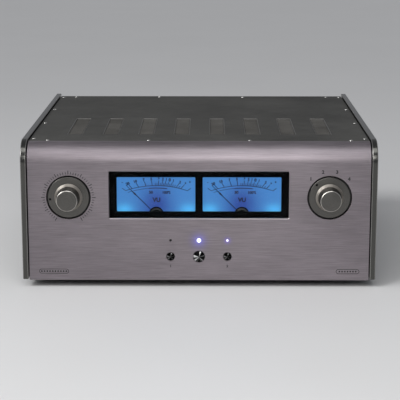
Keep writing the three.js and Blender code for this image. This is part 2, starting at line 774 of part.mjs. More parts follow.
function internals() {
  const group = new THREE.Group();
  const middle = [0, TRANSFORMER_Y, 0];
  place(group, "toroidal_transformer", transformer(), windingTape, middle);
  place(group, "transformer_clamp", transformerClamp(), zinc, middle);
  place(group, "power_supply_board", supplyBoard(), boardGreen);
  CAPACITOR_X.forEach((x, i) =>
    place(group, `reservoir_capacitor_${i + 1}`, reservoirCapacitor(), sleeveBlack, [x, 262, 0]),
  );
  for (const [name, side] of SIDES) {
    place(group, `${name}_heatsink`, heatsink(side), aluminium);
    place(group, `${name}_amplifier_board`, amplifierBoard(side), boardGreen);
    place(group, `${name}_output_module`, outputModule(side), blackPlastic);
  }
  place(group, "input_board", inputBoard(), boardGreen);
  return group;
}

function rearConnectors() {
  const group = new THREE.Group();
  place(group, "input_sockets", inputSockets(), blackPlastic);
  const inlet = [INLET_X, 0, INLET_Z];
  place(group, "mains_inlet", mainsInlet(), blackPlastic, inlet);
  place(group, "fuse_drawer", fuseDrawer(), blackPlastic, inlet);
  const rocker = [INLET_X, ROCKER_PIVOT_Y, INLET_Z + ROCKER_Z];
  place(group, "mains_rocker", mainsRocker(), blackPlastic, rocker).rotation.x = ROCKER_TILT;
  const names = ["right_negative", "right_positive", "left_negative", "left_positive"];
  names.forEach((name, i) => {
    const at = [POST_X[i], 0, POST_Z];
    const colour = name.endsWith("positive") ? capRed : blackPlastic;
    place(group, `${name}_terminal`, terminal(), gold, at);
    place(group, `${name}_terminal_cap`, terminalCap(), colour, at);
  });
  return group;
}

const amplifier = new THREE.Group();
const assembly = new THREE.Group();
assembly.position.y = (KNOB_PROUD - CAP_END) / 2; // centres the overall depth on the origin
assembly.add(casing(), controls(), meters(), internals(), rearConnectors());
amplifier.add(assembly);

export default amplifier;
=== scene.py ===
import json
import math

import bmesh
import bpy
from mathutils import Matrix, Vector


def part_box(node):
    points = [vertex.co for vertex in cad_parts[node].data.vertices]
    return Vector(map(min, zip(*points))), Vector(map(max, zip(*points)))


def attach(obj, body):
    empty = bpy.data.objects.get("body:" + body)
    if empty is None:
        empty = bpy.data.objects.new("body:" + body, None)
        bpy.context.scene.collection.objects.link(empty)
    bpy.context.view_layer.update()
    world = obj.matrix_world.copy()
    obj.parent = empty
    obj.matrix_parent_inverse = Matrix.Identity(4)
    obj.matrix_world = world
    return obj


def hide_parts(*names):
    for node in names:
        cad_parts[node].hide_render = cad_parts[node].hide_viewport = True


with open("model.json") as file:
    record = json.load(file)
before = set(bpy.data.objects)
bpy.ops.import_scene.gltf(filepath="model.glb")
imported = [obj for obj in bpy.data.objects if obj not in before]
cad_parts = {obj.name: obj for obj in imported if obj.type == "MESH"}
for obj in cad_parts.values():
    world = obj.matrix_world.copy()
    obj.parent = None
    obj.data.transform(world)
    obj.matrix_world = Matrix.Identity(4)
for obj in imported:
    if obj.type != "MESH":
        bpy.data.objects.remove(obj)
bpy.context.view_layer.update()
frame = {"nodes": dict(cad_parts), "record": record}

MM = 0.001
SIDES = {"left": -1, "right": 1}


def corners(node):
    low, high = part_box(node)
    return low / MM, high / MM


def middle(node):
    low, high = corners(node)
    return (low + high) / 2


PANEL_LOW, PANEL_HIGH = corners("front_panel")
COVER_LOW, COVER_HIGH = corners("top_cover")
FACE = PANEL_LOW.y  # the front face of the panel
REAR_FACE = COVER_HIGH.y  # the outer face of the rear panel


def on_face(node):
    """The point of the panel's face that a control's own axis passes through."""
    centre = middle(node)
    return Vector((centre.x, FACE, centre.z))


def on_rear(node):
    """The point of the rear panel's outer face that a fitting's own axis passes through."""
    centre = middle(node)
    return Vector((centre.x, REAR_FACE, centre.z))


def around(centre, angle, reach):
    """The point at a reach from centre, angle degrees clockwise from upright as seen from the front."""
    turn = math.radians(angle)
    return centre + reach * Vector((math.sin(turn), 0, math.cos(turn)))


# ---- outlines ----
def arc(centre, radius, start, end, steps):
    """Points on a circle between two angles in degrees."""
    angles = [math.radians(start + (end - start) * i / steps) for i in range(steps + 1)]
    return [(centre[0] + radius * math.cos(a), centre[1] + radius * math.sin(a)) for a in angles]


def dome(radius, height, base, step):
    """A dome's profile, from its top on the axis to its edge at base, in steps of so many degrees."""
    angles = [math.radians(a) for a in range(0, 91, step)]
    return [(radius * math.sin(a), base - height * math.cos(a)) for a in angles]


def rounded_rectangle(centre, half, radius, steps):
    points = []
    for u, v, start in ((1, 1, 0), (-1, 1, 90), (-1, -1, 180), (1, -1, 270)):
        corner = (centre[0] + u * (half[0] - radius), centre[1] + v * (half[1] - radius))
        points += arc(corner, radius, start, start + 90, steps)
    return points


def softened(profile, radius, steps=4):
    """The same profile with each inner corner rounded."""
    points = [Vector(p) for p in profile]
    out = [points[0]]
    for before, corner, after in zip(points, points[1:], points[2:]):
        reach = min(radius, (before - corner).length * 0.45, (after - corner).length * 0.45)
        start = corner + (before - corner).normalized() * reach
        end = corner + (after - corner).normalized() * reach
        for i in range(steps + 1):
            t = i / steps
            out.append(start * (1 - t) ** 2 + corner * 2 * t * (1 - t) + end * t**2)
    out.append(points[-1])
    return [tuple(p) for p in out]


def at_level(outline, axis, along):
    """Stands a flat outline somewhere along an axis. It is drawn in the other two, in X, Y, Z order."""
    index = "XYZ".index(axis)
    return [(*point[:index], along, *point[index:]) for point in outline]


# ---- mesh building ----
def bridge(bm, rings, closed):
    """Joins each ring of vertices to the next one. A ring of one vertex is a point."""
    pairs = list(zip(rings, rings[1:]))
    if closed:
        pairs.append((rings[-1], rings[0]))
    for a, b in pairs:
        count = max(len(a), len(b))
        for i in range(count):
            j = (i + 1) % count
            corner = [a[i % len(a)], a[j % len(a)], b[j % len(b)], b[i % len(b)]]
            bm.faces.new(list(dict.fromkeys(corner)))


def spin(bm, profile, origin, axis="Y", segments=72, closed=False, flutes=(0, 0.0)):
    """Revolves [(radius, along)] about an axis through origin. A radius of 0 ends on the axis.
    flutes is (how many, how deep) grooves run along the outside."""
    count, depth = flutes
    rings = []
    for radius, along in profile:
        ring = []
        for i in range(segments if radius > 0 else 1):
            angle = math.tau * i / segments
            reach = radius - depth * (0.5 - 0.5 * math.cos(count * angle)) if radius > 0 else 0
            across, up = reach * math.cos(angle), reach * math.sin(angle)
            point = (across, along, up) if axis == "Y" else (across, up, along)
            ring.append(bm.verts.new(origin + Vector(point)))
        rings.append(ring)
    bridge(bm, rings, closed)


def loft(bm, outlines, closed=False):
    """Joins outlines of equally many points, closed into a loop or with a flat face at either end."""
    rings = [[bm.verts.new(point) for point in outline] for outline in outlines]
    if not closed:
        bm.faces.new(rings[0])
        bm.faces.new(rings[-1])
    bridge(bm, rings, closed)


def prism(bm, outline, axis, low, high):
    """Makes a flat outline solid along an axis."""
    loft(bm, [at_level(outline, axis, along) for along in (low, high)])


def block(bm, low, high):
    outline = [(low[0], low[1]), (high[0], low[1]), (high[0], high[1]), (low[0], high[1])]
    prism(bm, outline, "Z", low[2], high[2])


def rounded_block(bm, centre, half, radius, levels, axis="Y", steps=5, closed=False):
    """A solid with a rounded rectangle as its section. levels is [(place along the axis, how far the
    section is grown there)]."""
    outlines = []
    for along, grow in levels:
        section = rounded_rectangle(centre, (half[0] + grow, half[1] + grow), radius + grow, steps)
        outlines.append(at_level(section, axis, along))
    loft(bm, outlines, closed)


def round_edges(bm, width, steps=2, limit=40):
    bmesh.ops.recalc_face_normals(bm, faces=bm.faces)
    sharp = [e for e in bm.edges if e.is_manifold and e.calc_face_angle(0) > math.radians(limit)]
    bmesh.ops.bevel(
        bm, geom=sharp, offset=width, segments=steps, profile=0.5, affect="EDGES", clamp_overlap=True
    )


def smooth(mesh, limit=32):
    mesh.shade_smooth()
    mesh.set_sharp_from_angle(angle=math.radians(limit))


# ---- pieces ----
def added(name, data):
    """A new object in the scene."""
    made = bpy.data.objects.new(name, data)
    bpy.context.scene.collection.objects.link(made)
    return made


def finished(name, bm, *looks, limit=32):
    """Turns a mesh drawn in millimetres into a named object in metres."""
    bmesh.ops.recalc_face_normals(bm, faces=bm.faces)
    bmesh.ops.scale(bm, vec=Vector((MM, MM, MM)), verts=bm.verts)
    mesh = bpy.data.meshes.new(name)
    bm.to_mesh(mesh)
    bm.free()
    smooth(mesh, limit)
    for look in looks:
        mesh.materials.append(look)
    return added(name, mesh)


def turned(name, profile, origin, look, limit=32, **how):
    """A piece revolved from one profile."""
    bm = bmesh.new()
    spin(bm, profile, origin, **how)
    return finished(name, bm, look, limit=limit)


def worked_out(made):
    """The mesh that an object has once its text or its modifiers are applied."""
    bpy.context.view_layer.update()
    return bpy.data.meshes.new_from_object(made.evaluated_get(bpy.context.evaluated_depsgraph_get()))


def carve(piece, bm):
    """Cuts what bm holds out of a piece."""
    cutter = finished("cutters", bm)
    cut = piece.modifiers.new("cut", "BOOLEAN")
    cut.operation = "DIFFERENCE"
    cut.solver = "EXACT"
    cut.object = cutter
    mesh = worked_out(piece)
    piece.modifiers.remove(cut)
    piece.data = mesh
    bpy.data.objects.remove(cutter)
    smooth(mesh)


def repaint(piece, look, chosen):
    """Gives a further look to the faces for which chosen(middle in millimetres, normal) holds."""
    piece.data.materials.append(look)
    for face in piece.data.polygons:
        if chosen(face.center / MM, face.normal):
            face.material_index = len(piece.data.materials) - 1


def even_shading(piece):
    piece.modifiers.new("even_shading", "WEIGHTED_NORMAL").keep_sharp = True


def place(piece, slot, *nodes, body="chassis"):
    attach(piece, body)
    if nodes:
        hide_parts(*nodes)


CAPITAL_SHARE = 0.69  # a capital's height in the font, as a share of its size
PRINT_THICK = 0.04


def lettering(name, text, height, at, look, facing="front", turn=0, bold=0.045):
    """Raised print. height is that of a capital, and at is the middle of the text on the surface.
    bold is how far the strokes are widened on each side, as a share of the height."""
    curve = bpy.data.curves.new(name, "FONT")
    curve.body = text
    curve.size = height / CAPITAL_SHARE * MM
    curve.extrude = PRINT_THICK / 2 * MM
    curve.offset = bold * height * MM
    curve.align_x = "CENTER"
    curve.align_y = "CENTER"
    writing = added(name, curve)
    mesh = worked_out(writing)
    bpy.data.objects.remove(writing)
    heading = {"front": 0, "rear": math.pi}[facing]
    stand = Matrix.Rotation(heading, 4, "Z") @ Matrix.Rotation(math.radians(90), 4, "X")
    lean = Matrix.Rotation(math.radians(-turn), 4, "Z")
    mesh.transform(Matrix.Translation(at * MM) @ stand @ lean)
    mesh.materials.clear()
    mesh.materials.append(look)
    return added(name, mesh)


def joined(name, parts):
    """One object made of several with the same look."""
    bm = bmesh.new()
    for part in parts:
        bm.from_mesh(part.data)
    mesh = bpy.data.meshes.new(name)
    bm.to_mesh(mesh)
    bm.free()
    for look in parts[0].data.materials:
        mesh.materials.append(look)
    for part in parts:
        bpy.data.objects.remove(part)
    return added(name, mesh)


# ---- materials ----
class Look:
    """A Principled material built up from procedural layers, in the frame's own metres."""

    def __init__(self, name, colour, roughness, metallic=0.0, **sockets):
        self.material = bpy.data.materials.new(name)
        self.material.use_nodes = True
        self.material.diffuse_color = (*colour, 1)
        self.tree = self.material.node_tree
        self.shader = self.tree.nodes["Principled BSDF"]
        self.colour = colour
        self.set("Base Color", (*colour, 1))
        self.set("Roughness", roughness)
        self.set("Metallic", metallic)
        for socket, value in sockets.items():
            self.set(socket.replace("_", " "), value)

    def set(self, socket, value):
        self.shader.inputs[socket].default_value = value

    def node(self, kind, inputs, **settings):
        made = self.tree.nodes.new(kind)
        for key, value in settings.items():
            setattr(made, key, value)
        for key, value in inputs.items():
            if isinstance(value, bpy.types.NodeSocket):
                self.tree.links.new(value, made.inputs[key])
            else:
                made.inputs[key].default_value = value
        return made

    def link(self, output, socket):
        self.tree.links.new(output, self.shader.inputs[socket])

    def math(self, operation, a, b=0.0):
        return self.node("ShaderNodeMath", {0: a, 1: b}, operation=operation).outputs["Value"]

    def times(self, a, b):
        return self.math("MULTIPLY", a, b)

    def vector(self, operation, inputs, output="Vector"):
        return self.node("ShaderNodeVectorMath", inputs, operation=operation).outputs[output]

    def position(self, scale=(1, 1, 1), centre=(0, 0, 0)):
        """The point on the surface in metres, from centre, stretched by scale."""
        shift = [-c * s for c, s in zip(centre, scale)]
        source = self.node("ShaderNodeTexCoord", {}).outputs["Object"]
        inputs = {"Vector": source, "Scale": scale, "Location": shift}
        return self.node("ShaderNodeMapping", inputs).outputs["Vector"]

    def from_axis(self, centre):
        """The point on the surface as seen along Y, from centre."""
        return self.position((1, 0, 1), (centre.x, 0, centre.z))

    def noise(self, scale, detail=3.0, roughness=0.6):
        """Clouds per metre, the same in every direction or one value for each axis."""
        stretch = scale if isinstance(scale, tuple) else (scale,) * 3
        inputs = {"Vector": self.position(stretch), "Scale": 1.0, "Detail": detail, "Roughness": roughness}
        return self.node("ShaderNodeTexNoise", inputs).outputs["Fac"]

    def rings(self, centre, per_metre):
        """Turned grooves: noise that changes only with the distance from an axis along Y."""
        radius = self.vector("LENGTH", {0: self.from_axis(centre)}, "Value")
        inputs = {"W": self.times(radius, per_metre), "Scale": 1.0, "Detail": 2.0}
        return self.node("ShaderNodeTexNoise", inputs, noise_dimensions="1D").outputs["Fac"]

    def fan(self, centre, sectors):
        """Noise that changes only with the direction from an axis along Y."""
        heading = self.vector("NORMALIZE", {0: self.from_axis(centre)})
        inputs = {"Vector": heading, "Scale": sectors, "Detail": 1.5, "Roughness": 0.6}
        return self.node("ShaderNodeTexNoise", inputs).outputs["Fac"]

    def layered(self, first, share, second):
        """A share of one layer, and for the rest another."""
        rest = self.times(second, 1 - share)
        return self.math("ADD", self.times(first, share), rest)

    def between(self, factor, low, high, start=0.3, end=0.7):
        inputs = {"Value": factor, "From Min": start, "From Max": end, "To Min": low, "To Max": high}
        return self.node("ShaderNodeMapRange", inputs).outputs["Result"]

    def blend(self, factor, *colours):
        """Mixes two colours, each given as a socket or as red, green and blue."""
        first, second = (c if isinstance(c, bpy.types.NodeSocket) else (*c, 1) for c in colours)
        return self.node("ShaderNodeMix", {0: factor, 6: first, 7: second}, data_type="RGBA").outputs[2]

    def colour_by(self, factor, first, second):
        self.link(self.blend(factor, first, second), "Base Color")

    def falloff(self, square):
        """1 where a squared distance is 0, falling away smoothly as it grows."""
        return self.math("EXPONENT", self.times(square, -1.0))

    def tint(self, factor, darkest, lightest):
        """Varies the colour between two shares of itself."""
        low = [c * darkest for c in self.colour]
        high = [min(c * lightest, 1) for c in self.colour]
        self.colour_by(self.between(factor, 0, 1), low, high)

    def roughen(self, factor, low, high):
        self.link(self.between(factor, low, high), "Roughness")

    def bump(self, height, strength, distance):
        inputs = {"Height": height, "Strength": strength, "Distance": distance}
        self.link(self.node("ShaderNodeBump", inputs).outputs["Normal"], "Normal")

    def halo(self, centre, reach, colour):
        """Light that a lamp at centre spreads on the surface round it, added to any there already."""
        distance = self.vector("LENGTH", {0: self.position(centre=centre)}, "Value")
        share = self.times(distance, 1 / reach)
        light = self.vector("SCALE", {0: colour, 3: self.falloff(self.times(share, share))})
        emission = self.shader.inputs["Emission Color"]
        if emission.links:
            light = self.vector("ADD", {0: emission.links[0].from_socket, 1: light})
        self.link(light, "Emission Color")
        self.set("Emission Strength", 1.0)

    def grain_direction(self, axis):
        """Sets the direction in which a surface brushed along an axis, or turned about it, spreads light."""
        tangent = self.node("ShaderNodeTangent", {}, direction_type="RADIAL", axis=axis)
        self.link(tangent.outputs["Tangent"], "Tangent")


def brushed_aluminium():
    """The panel's long brush marks, and the light that the two lit lamps spread on it."""
    look = Look("brushed_aluminium", (0.23, 0.205, 0.222), 0.37, 1.0, Anisotropic=0.7)
    lines = look.layered(look.noise((40, 3200, 3200), 2.0), 0.3, look.noise((32, 880, 880), 3.0, 0.7))
    look.tint(look.layered(lines, 0.7, look.noise((7, 12, 12), 2.0)), 0.68, 1.32)
    look.roughen(lines, 0.33, 0.44)
    look.bump(lines, 0.2, 0.00006)
    look.grain_direction("X")
    look.halo(on_face("power_led") * MM, 0.0082, (0.0, 0.0, 0.24))
    look.halo(on_face("power_led") * MM, 0.0040, (0.03, 0.05, 0.25))
    look.halo(on_face("right_led") * MM, 0.0036, (0.02, 0.0, 0.3))
    return look.material


def satin_metal():
    look = Look("satin_metal", (0.092, 0.092, 0.086), 0.2, 1.0, Anisotropic=0.3)
    grain = look.noise((2600, 60, 2600))
    look.tint(look.layered(grain, 0.75, look.noise(18)), 0.8, 1.2)
    look.roughen(grain, 0.15, 0.25)
    look.bump(grain, 0.16, 0.00005)
    return look.material


def turned_metal(name, centre, colour=(0.118, 0.114, 0.107), roughness=0.3, sheen=0.5):
    """Bar turned in a lathe. sheen is how far its rings draw light out along the radius."""
    look = Look(name, colour, roughness, 1.0, Anisotropic=sheen, Anisotropic_Rotation=0.25)
    rings = look.rings(centre * MM, 4200)
    look.tint(rings, 0.9, 1.1)
    look.roughen(look.layered(rings, 0.7, look.noise(60)), roughness - 0.05, roughness + 0.1)
    look.bump(rings, 0.12, 0.00004)
    look.grain_direction("Y")
    return look.material


def spun_chrome(name, centre, shade):
    """Dark chrome on a turned cone, with painted reflections: fans round its axis, lighter and darker in
    colour by direction.
    """
    look = Look(name, (shade, shade * 0.96, shade), 0.22, 1.0, Anisotropic=0.9, Anisotropic_Rotation=0.25)
    rings = look.rings(centre * MM, 9000)
    # painted reflection: the colour runs from a tenth of the chrome's tone to ten times it, in fans round
    # the axis
    fan = look.between(look.fan(centre * MM, 2.6), 0, 1, 0.5, 0.68)
    look.colour_by(fan, (shade * 0.1,) * 3, (shade * 10,) * 3)
    look.roughen(rings, 0.16, 0.3)
    look.bump(rings, 0.1, 0.00003)
    look.grain_direction("Y")
    return look.material


def cover_paint():
    look = Look("cover_paint", (0.046, 0.0455, 0.0425), 0.6, Specular_IOR_Level=0.15)
    orange_peel = look.noise(1500)
    look.tint(look.layered(look.noise((70, 560, 560), 4.0, 0.75), 0.6, look.noise(9, 4.0)), 0.4, 1.6)
    look.roughen(orange_peel, 0.5, 0.7)
    look.bump(orange_peel, 0.3, 0.00008)
    return look.material


def black_sheet():
    look = Look("black_sheet", (0.018, 0.018, 0.019), 0.6)
    texture = look.noise(1900, 4.0)
    look.tint(look.noise(15), 0.8, 1.35)
    look.roughen(texture, 0.5, 0.72)
    look.bump(texture, 0.45, 0.00012)
    return look.material


def plain_metal(name, colour, roughness, grain=(900, 900, 60)):
    look = Look(name, colour, roughness, 1.0)
    lines = look.noise(grain)
    look.tint(look.layered(lines, 0.4, look.noise(25, 4.0)), 0.82, 1.16)
    look.roughen(lines, roughness * 0.85, roughness * 1.25)
    look.bump(lines, 0.15, 0.00005)
    return look.material


def moulded(name, colour, roughness, grain=1400, relief=0.25, **sockets):
    """Moulded plastic or rubber with a fine grain."""
    look = Look(name, colour, roughness, **sockets)
    texture = look.noise(grain)
    look.tint(look.noise(30), 0.8, 1.25)
    look.roughen(texture, roughness * 0.85, min(roughness * 1.2, 1))
    look.bump(texture, relief, 0.00006)
    return look.material


def circuit_board():
    look = Look("circuit_board", (0.02, 0.11, 0.05), 0.35, Coat_Weight=0.4)
    inputs = {"Vector": look.position((420, 420, 420)), "Scale": 1.0}
    settings = {"distance": "MANHATTAN", "feature": "DISTANCE_TO_EDGE"}
    cells = look.node("ShaderNodeTexVoronoi", inputs, **settings).outputs["Distance"]
    tracks = look.between(cells, 0, 1, 0.08, 0.12)
    look.colour_by(tracks, (0.012, 0.07, 0.03), (0.03, 0.16, 0.07))
    look.bump(tracks, 0.4, 0.00006)
    return look.material


TAPE_TURNS = 46


def transformer_tape():
    """Yellow tape wound round the ring, each turn lapping over the one before."""
    look = Look("transformer_tape", (0.55, 0.36, 0.06), 0.4, Coat_Weight=0.25)
    point = look.position(centre=middle("toroidal_transformer") * MM)
    x, y, _ = look.node("ShaderNodeSeparateXYZ", {0: point}).outputs
    turns = look.times(look.math("ARCTAN2", y, x), TAPE_TURNS / math.tau)
    lap = look.between(look.math("FRACT", turns), 0, 1, 0.0, 0.9)
    look.colour_by(lap, (0.46, 0.28, 0.04), (0.62, 0.42, 0.09))
    look.roughen(look.noise(40), 0.32, 0.5)
    look.bump(lap, 0.7, 0.0004)
    return look.material


def clear_glass():
    """A coated pane, which reflects little."""
    look = Look("clear_pane", (0.97, 0.985, 1.0), 0.0, Transmission_Weight=1.0, IOR=1.06)
    look.roughen(look.noise(35), 0.0, 0.006)
    return look.material


def gloss_black():
    look = Look("gloss_black", (0.0016, 0.0016, 0.002), 0.3, Specular_IOR_Level=0.03)
    haze = look.noise(50)
    look.tint(haze, 0.8, 1.3)
    look.roughen(haze, 0.22, 0.4)
    return look.material


def lit_dial(name, centre):
    """A backlit dial card: lamps glow in the lower corners, and the lower middle falls to indigo."""
    look = Look(name, (0.01, 0.03, 0.08), 0.6, Specular_IOR_Level=0.2)
    x, _, z = look.node("ShaderNodeSeparateXYZ", {0: look.position(centre=centre * MM)}).outputs
    across = look.math("ABSOLUTE", x)

    def spread(width, height, at_x, at_z):
        """1 at a point on either side, falling away smoothly with distance."""
        dx = look.math("DIVIDE", look.math("SUBTRACT", across, at_x * MM), width * MM)
        dz = look.math("DIVIDE", look.math("SUBTRACT", z, at_z * MM), height * MM)
        return look.falloff(look.math("ADD", look.times(dx, dx), look.times(dz, dz)))

    sky = look.blend(spread(21, 25, 0, -15), (0.059, 0.215, 0.515), (0.024, 0.05, 0.25))
    glow = look.blend(look.times(spread(10, 7, 40, -22), 0.95), sky, (0.09, 0.46, 0.84))
    paper = look.noise(700)
    look.link(look.vector("SCALE", {0: glow, 3: look.between(paper, 0.97, 1.03)}), "Emission Color")
    look.set("Emission Strength", 1.0)
    look.bump(paper, 0.1, 0.00005)
    return look.material


def backlit_ink(name, colour, roughness, glow, grain, lightest):
    """Dark paint in front of the lit dial that glows faintly. On the dial's print this stands in for the
    lamps' light coming through it; on the needle it is a painted glow, standing in for the dial's light
    falling on it.
    """
    look = Look(name, colour, roughness, Emission_Color=(*glow, 1), Emission_Strength=0.5)
    look.tint(look.noise(grain, 2.0), 0.8, lightest)
    return look.material


def lamp(name, colour, strength):
    look = Look(name, (0.75, 0.8, 1.0), 0.2, Emission_Strength=strength)
    inner = look.between(look.noise(900, 2.0), 0, 1)
    look.link(look.blend(inner, colour, [min(c * 1.15, 1) for c in colour]), "Emission Color")
    return look.material


def print_ink(name, colour):
    look = Look(name, colour, 0.5)
    look.tint(look.noise(800), 0.75, 1.3)
    return look.material


BRUSHED = brushed_aluminium()
SATIN = satin_metal()
COVER = cover_paint()
SHEET = black_sheet()
MESH_STEEL = moulded("painted_mesh", (0.07, 0.068, 0.064), 0.65, 1100, 0.3, Specular_IOR_Level=0.08)
# painted highlight: bright metal for the vents' bevels on the dark cover
VENT_PAINTED_HIGHLIGHT = plain_metal("painted_highlight_edge", (0.24, 0.235, 0.225), 0.36)
# painted highlight: a lighter copy of the satin metal for the cheeks' rounded edges
CHEEK_PAINTED_HIGHLIGHT = plain_metal("cheek_painted_highlight", (0.26, 0.255, 0.245), 0.3, (1400, 25, 1400))
# painted highlight: a lighter copy of the panel's metal for the window's bevel
WINDOW_PAINTED_HIGHLIGHT = plain_metal("window_painted_highlight", (0.38, 0.35, 0.37), 0.34)
MILL_ALUMINIUM = plain_metal("mill_aluminium", (0.5, 0.5, 0.51), 0.38)
ZINC = plain_metal("zinc_plate", (0.42, 0.43, 0.44), 0.35)
NICKEL = plain_metal("nickel_plate", (0.58, 0.55, 0.5), 0.2)
GOLD = plain_metal("gold_plate", (0.72, 0.5, 0.17), 0.2)
SCREW_STEEL = plain_metal("screw_steel", (0.62, 0.61, 0.59), 0.24)
RUBBER = moulded("foot_rubber", (0.018, 0.018, 0.018), 0.75, 900, 0.4)
BLACK_PLASTIC = moulded("black_plastic", (0.014, 0.014, 0.015), 0.45)
CAP_BLACK = moulded("cap_black", (0.012, 0.012, 0.013), 0.28, 600, 0.1)
CAP_RED = moulded("cap_red", (0.36, 0.01, 0.01), 0.28, 600, 0.1)
INSULATOR_WHITE = moulded("insulator_white", (0.7, 0.7, 0.68), 0.4, 600, 0.1)
INSULATOR_RED = moulded("insulator_red", (0.45, 0.015, 0.015), 0.4, 600, 0.1)
SLEEVE = moulded("capacitor_sleeve", (0.012, 0.016, 0.03), 0.3, 500, 0.08)
BOARD = circuit_board()
TAPE = transformer_tape()
GLASS = clear_glass()
GLOSS_BLACK = gloss_black()
INK = print_ink("panel_ink", (0.012, 0.011, 0.012))
WHITE_INK = print_ink("white_ink", (0.6, 0.6, 0.58))
DIAL_INK = backlit_ink("dial_ink", (0.003, 0.006, 0.02), 0.6, (0.003, 0.01, 0.05), 500, 1.2)
# painted glow: the needle glows faintly, standing in for the dial's light falling on it
NEEDLE = backlit_ink("needle_paint", (0.002, 0.004, 0.015), 0.55, (0.002, 0.006, 0.03), 400, 1.3)
LAMP_WHITE = lamp("power_lamp_glow", (0.84, 0.93, 1.0), 1.35)
LAMP_VIOLET = lamp("small_lamp_glow", (0.86, 0.78, 1.0), 1.0)
LAMP_DARK = moulded("lamp_dark", (0.006, 0.006, 0.008), 0.15, 400, 0.05)


# ---- front panel ----
GAP = 0.3  # between neighbouring pieces
KNOBS = ("volume_knob", "selector_knob")
BUTTON_RADIUS = {"power": 6.9, "left": 4.8, "right": 4.8}
BUTTON_SLACK = 0.35  # between a button and its hole
LAMPS = {  # radius, how far it stands out, look and slot
    "power": (2.5, 1.0, LAMP_WHITE, "lamp_blue"),
    "left": (1.25, 0.3, LAMP_DARK, "lamp_dark"),
    "right": (1.25, 0.3, LAMP_VIOLET, "lamp_blue"),
}
PANEL_THICK = 10
POCKET_RADIUS = 27.3
POCKET_DEPTH = 6.2
# painted shade: thickness of the black plates at the bottom of the knob pockets
SHADE_PLATE_THICK = 0.5
SHAFT_HOLE = 5.2
BEND_RADIUS = 24
BEND_CENTRE = (FACE + BEND_RADIUS, PANEL_HIGH.z - BEND_RADIUS)  # in Y and Z
WINDOW_BEVEL = 0.8
WINDOW_CORNER = 1.2


def panel_profile():
    """The panel's section in Y and Z, from the bottom of the back face round to the front."""
    under = COVER_LOW.z - GAP
    points = [(FACE + PANEL_THICK, PANEL_LOW.z)]
    points += arc(BEND_CENTRE, BEND_RADIUS - PANEL_THICK, 180, 90, 16)
    points += [(PANEL_HIGH.y, PANEL_HIGH.z - PANEL_THICK), (PANEL_HIGH.y, under), (BEND_CENTRE[0], under)]
    points += arc(BEND_CENTRE, BEND_RADIUS, 90, 180, 36)
    points += [(FACE, PANEL_LOW.z)]
    return points


def funnel(bm, centre, radius, depth, chamfer, segments=72):
    """A round cutter with a chamfered mouth, from in front of the panel's face to depth behind it."""
    mouth = [(0, -1), (radius + chamfer + 1, -1), (radius, chamfer)]
    spin(bm, mouth + [(radius, depth), (0, depth)], centre, segments=segments)


def front_panel():
    bm = bmesh.new()
    prism(bm, panel_profile(), "X", PANEL_LOW.x, PANEL_HIGH.x)
    round_edges(bm, 0.35, 2, 60)
    panel = finished("front_panel_body", bm, BRUSHED)
    low, high = corners("meter_window")
    centre, half = (low + high) / 2, (high - low) / 2 + Vector((GAP, 0, GAP))
    through = PANEL_THICK + 1
    levels = [(FACE - 1, 1 + WINDOW_BEVEL), (FACE + WINDOW_BEVEL, 0), (FACE + through, 0)]
    cutters = bmesh.new()
    rounded_block(cutters, centre.xz, half.xz, WINDOW_CORNER, levels, steps=6)
    for knob in KNOBS:
        funnel(cutters, on_face(knob), POCKET_RADIUS, POCKET_DEPTH, 0.45, 128)
    for name, radius in BUTTON_RADIUS.items():
        funnel(cutters, on_face(f"{name}_button"), radius + BUTTON_SLACK, through, 0.35)
    for name, (radius, *_) in LAMPS.items():
        funnel(cutters, on_face(f"{name}_led"), radius + GAP, through, 0.15, 40)
    carve(panel, cutters)

    def on_window_bevel(at, _):
        across, up = abs(at.x - centre.x) - half.x, abs(at.z - centre.z) - half.z
        return max(across, up) < WINDOW_BEVEL and 0.1 < at.y - FACE < WINDOW_BEVEL - 0.1

    # painted highlight: the window's bevel gets a lighter copy of the panel's metal
    repaint(panel, WINDOW_PAINTED_HIGHLIGHT, on_window_bevel)
    even_shading(panel)
    place(panel, "brushed_panel", "front_panel")


def pocket_liners():
    """Round black plates at the bottom of the knob pockets, which paint shade: they make the ring round each
    knob dark.
    """
    radius, back = POCKET_RADIUS - 0.05, POCKET_DEPTH - 0.1
    front = back - SHADE_PLATE_THICK
    profile = [(SHAFT_HOLE, front), (radius, front), (radius, back), (SHAFT_HOLE, back)]
    for knob in KNOBS:
        name = knob.replace("knob", "pocket_shade_plate")
        place(turned(name, profile, on_face(knob), BLACK_PLASTIC, closed=True), "black_plastic")


VOLUME_TRAVEL = 150  # degrees either side of the top
VOLUME_TICK = 6  # degrees between ticks
TICK_START = 29.2
LONG_TICK = (33.8, 0.95)  # outer end and width of every fifth tick
SHORT_TICK = (32.2, 0.76)
SELECTOR_STOPS = (-45, -15, 15, 45)
STOP_REACH = 33.4
NUMBER_DROP = 12.3  # from a button's axis down to its number
PRINT_PROUD = 0.03
PRINT_SUNK = 0.02
PRINT_MIDDLE = Vector((0, -PRINT_PROUD / 2, 0))


def tick(bm, centre, angle, inner, outer, width):
    """A fine printed line on the panel's face, radial about a knob."""
    turn = Matrix.Rotation(math.radians(angle), 3, "Y")
    outline = [(-width / 2, inner), (width / 2, inner), (width / 2, outer), (-width / 2, outer)]
    levels = (-PRINT_PROUD, PRINT_SUNK)
    loft(bm, [[centre + turn @ Vector((u, level, v)) for u, v in outline] for level in levels])


def volume_scale():
    bm = bmesh.new()
    for i in range(2 * VOLUME_TRAVEL // VOLUME_TICK + 1):
        angle = VOLUME_TICK * i - VOLUME_TRAVEL
        tick(bm, on_face("volume_knob"), angle, TICK_START, *(SHORT_TICK if i % 5 else LONG_TICK))
    place(finished("volume_scale_print", bm, INK), "mask_black")


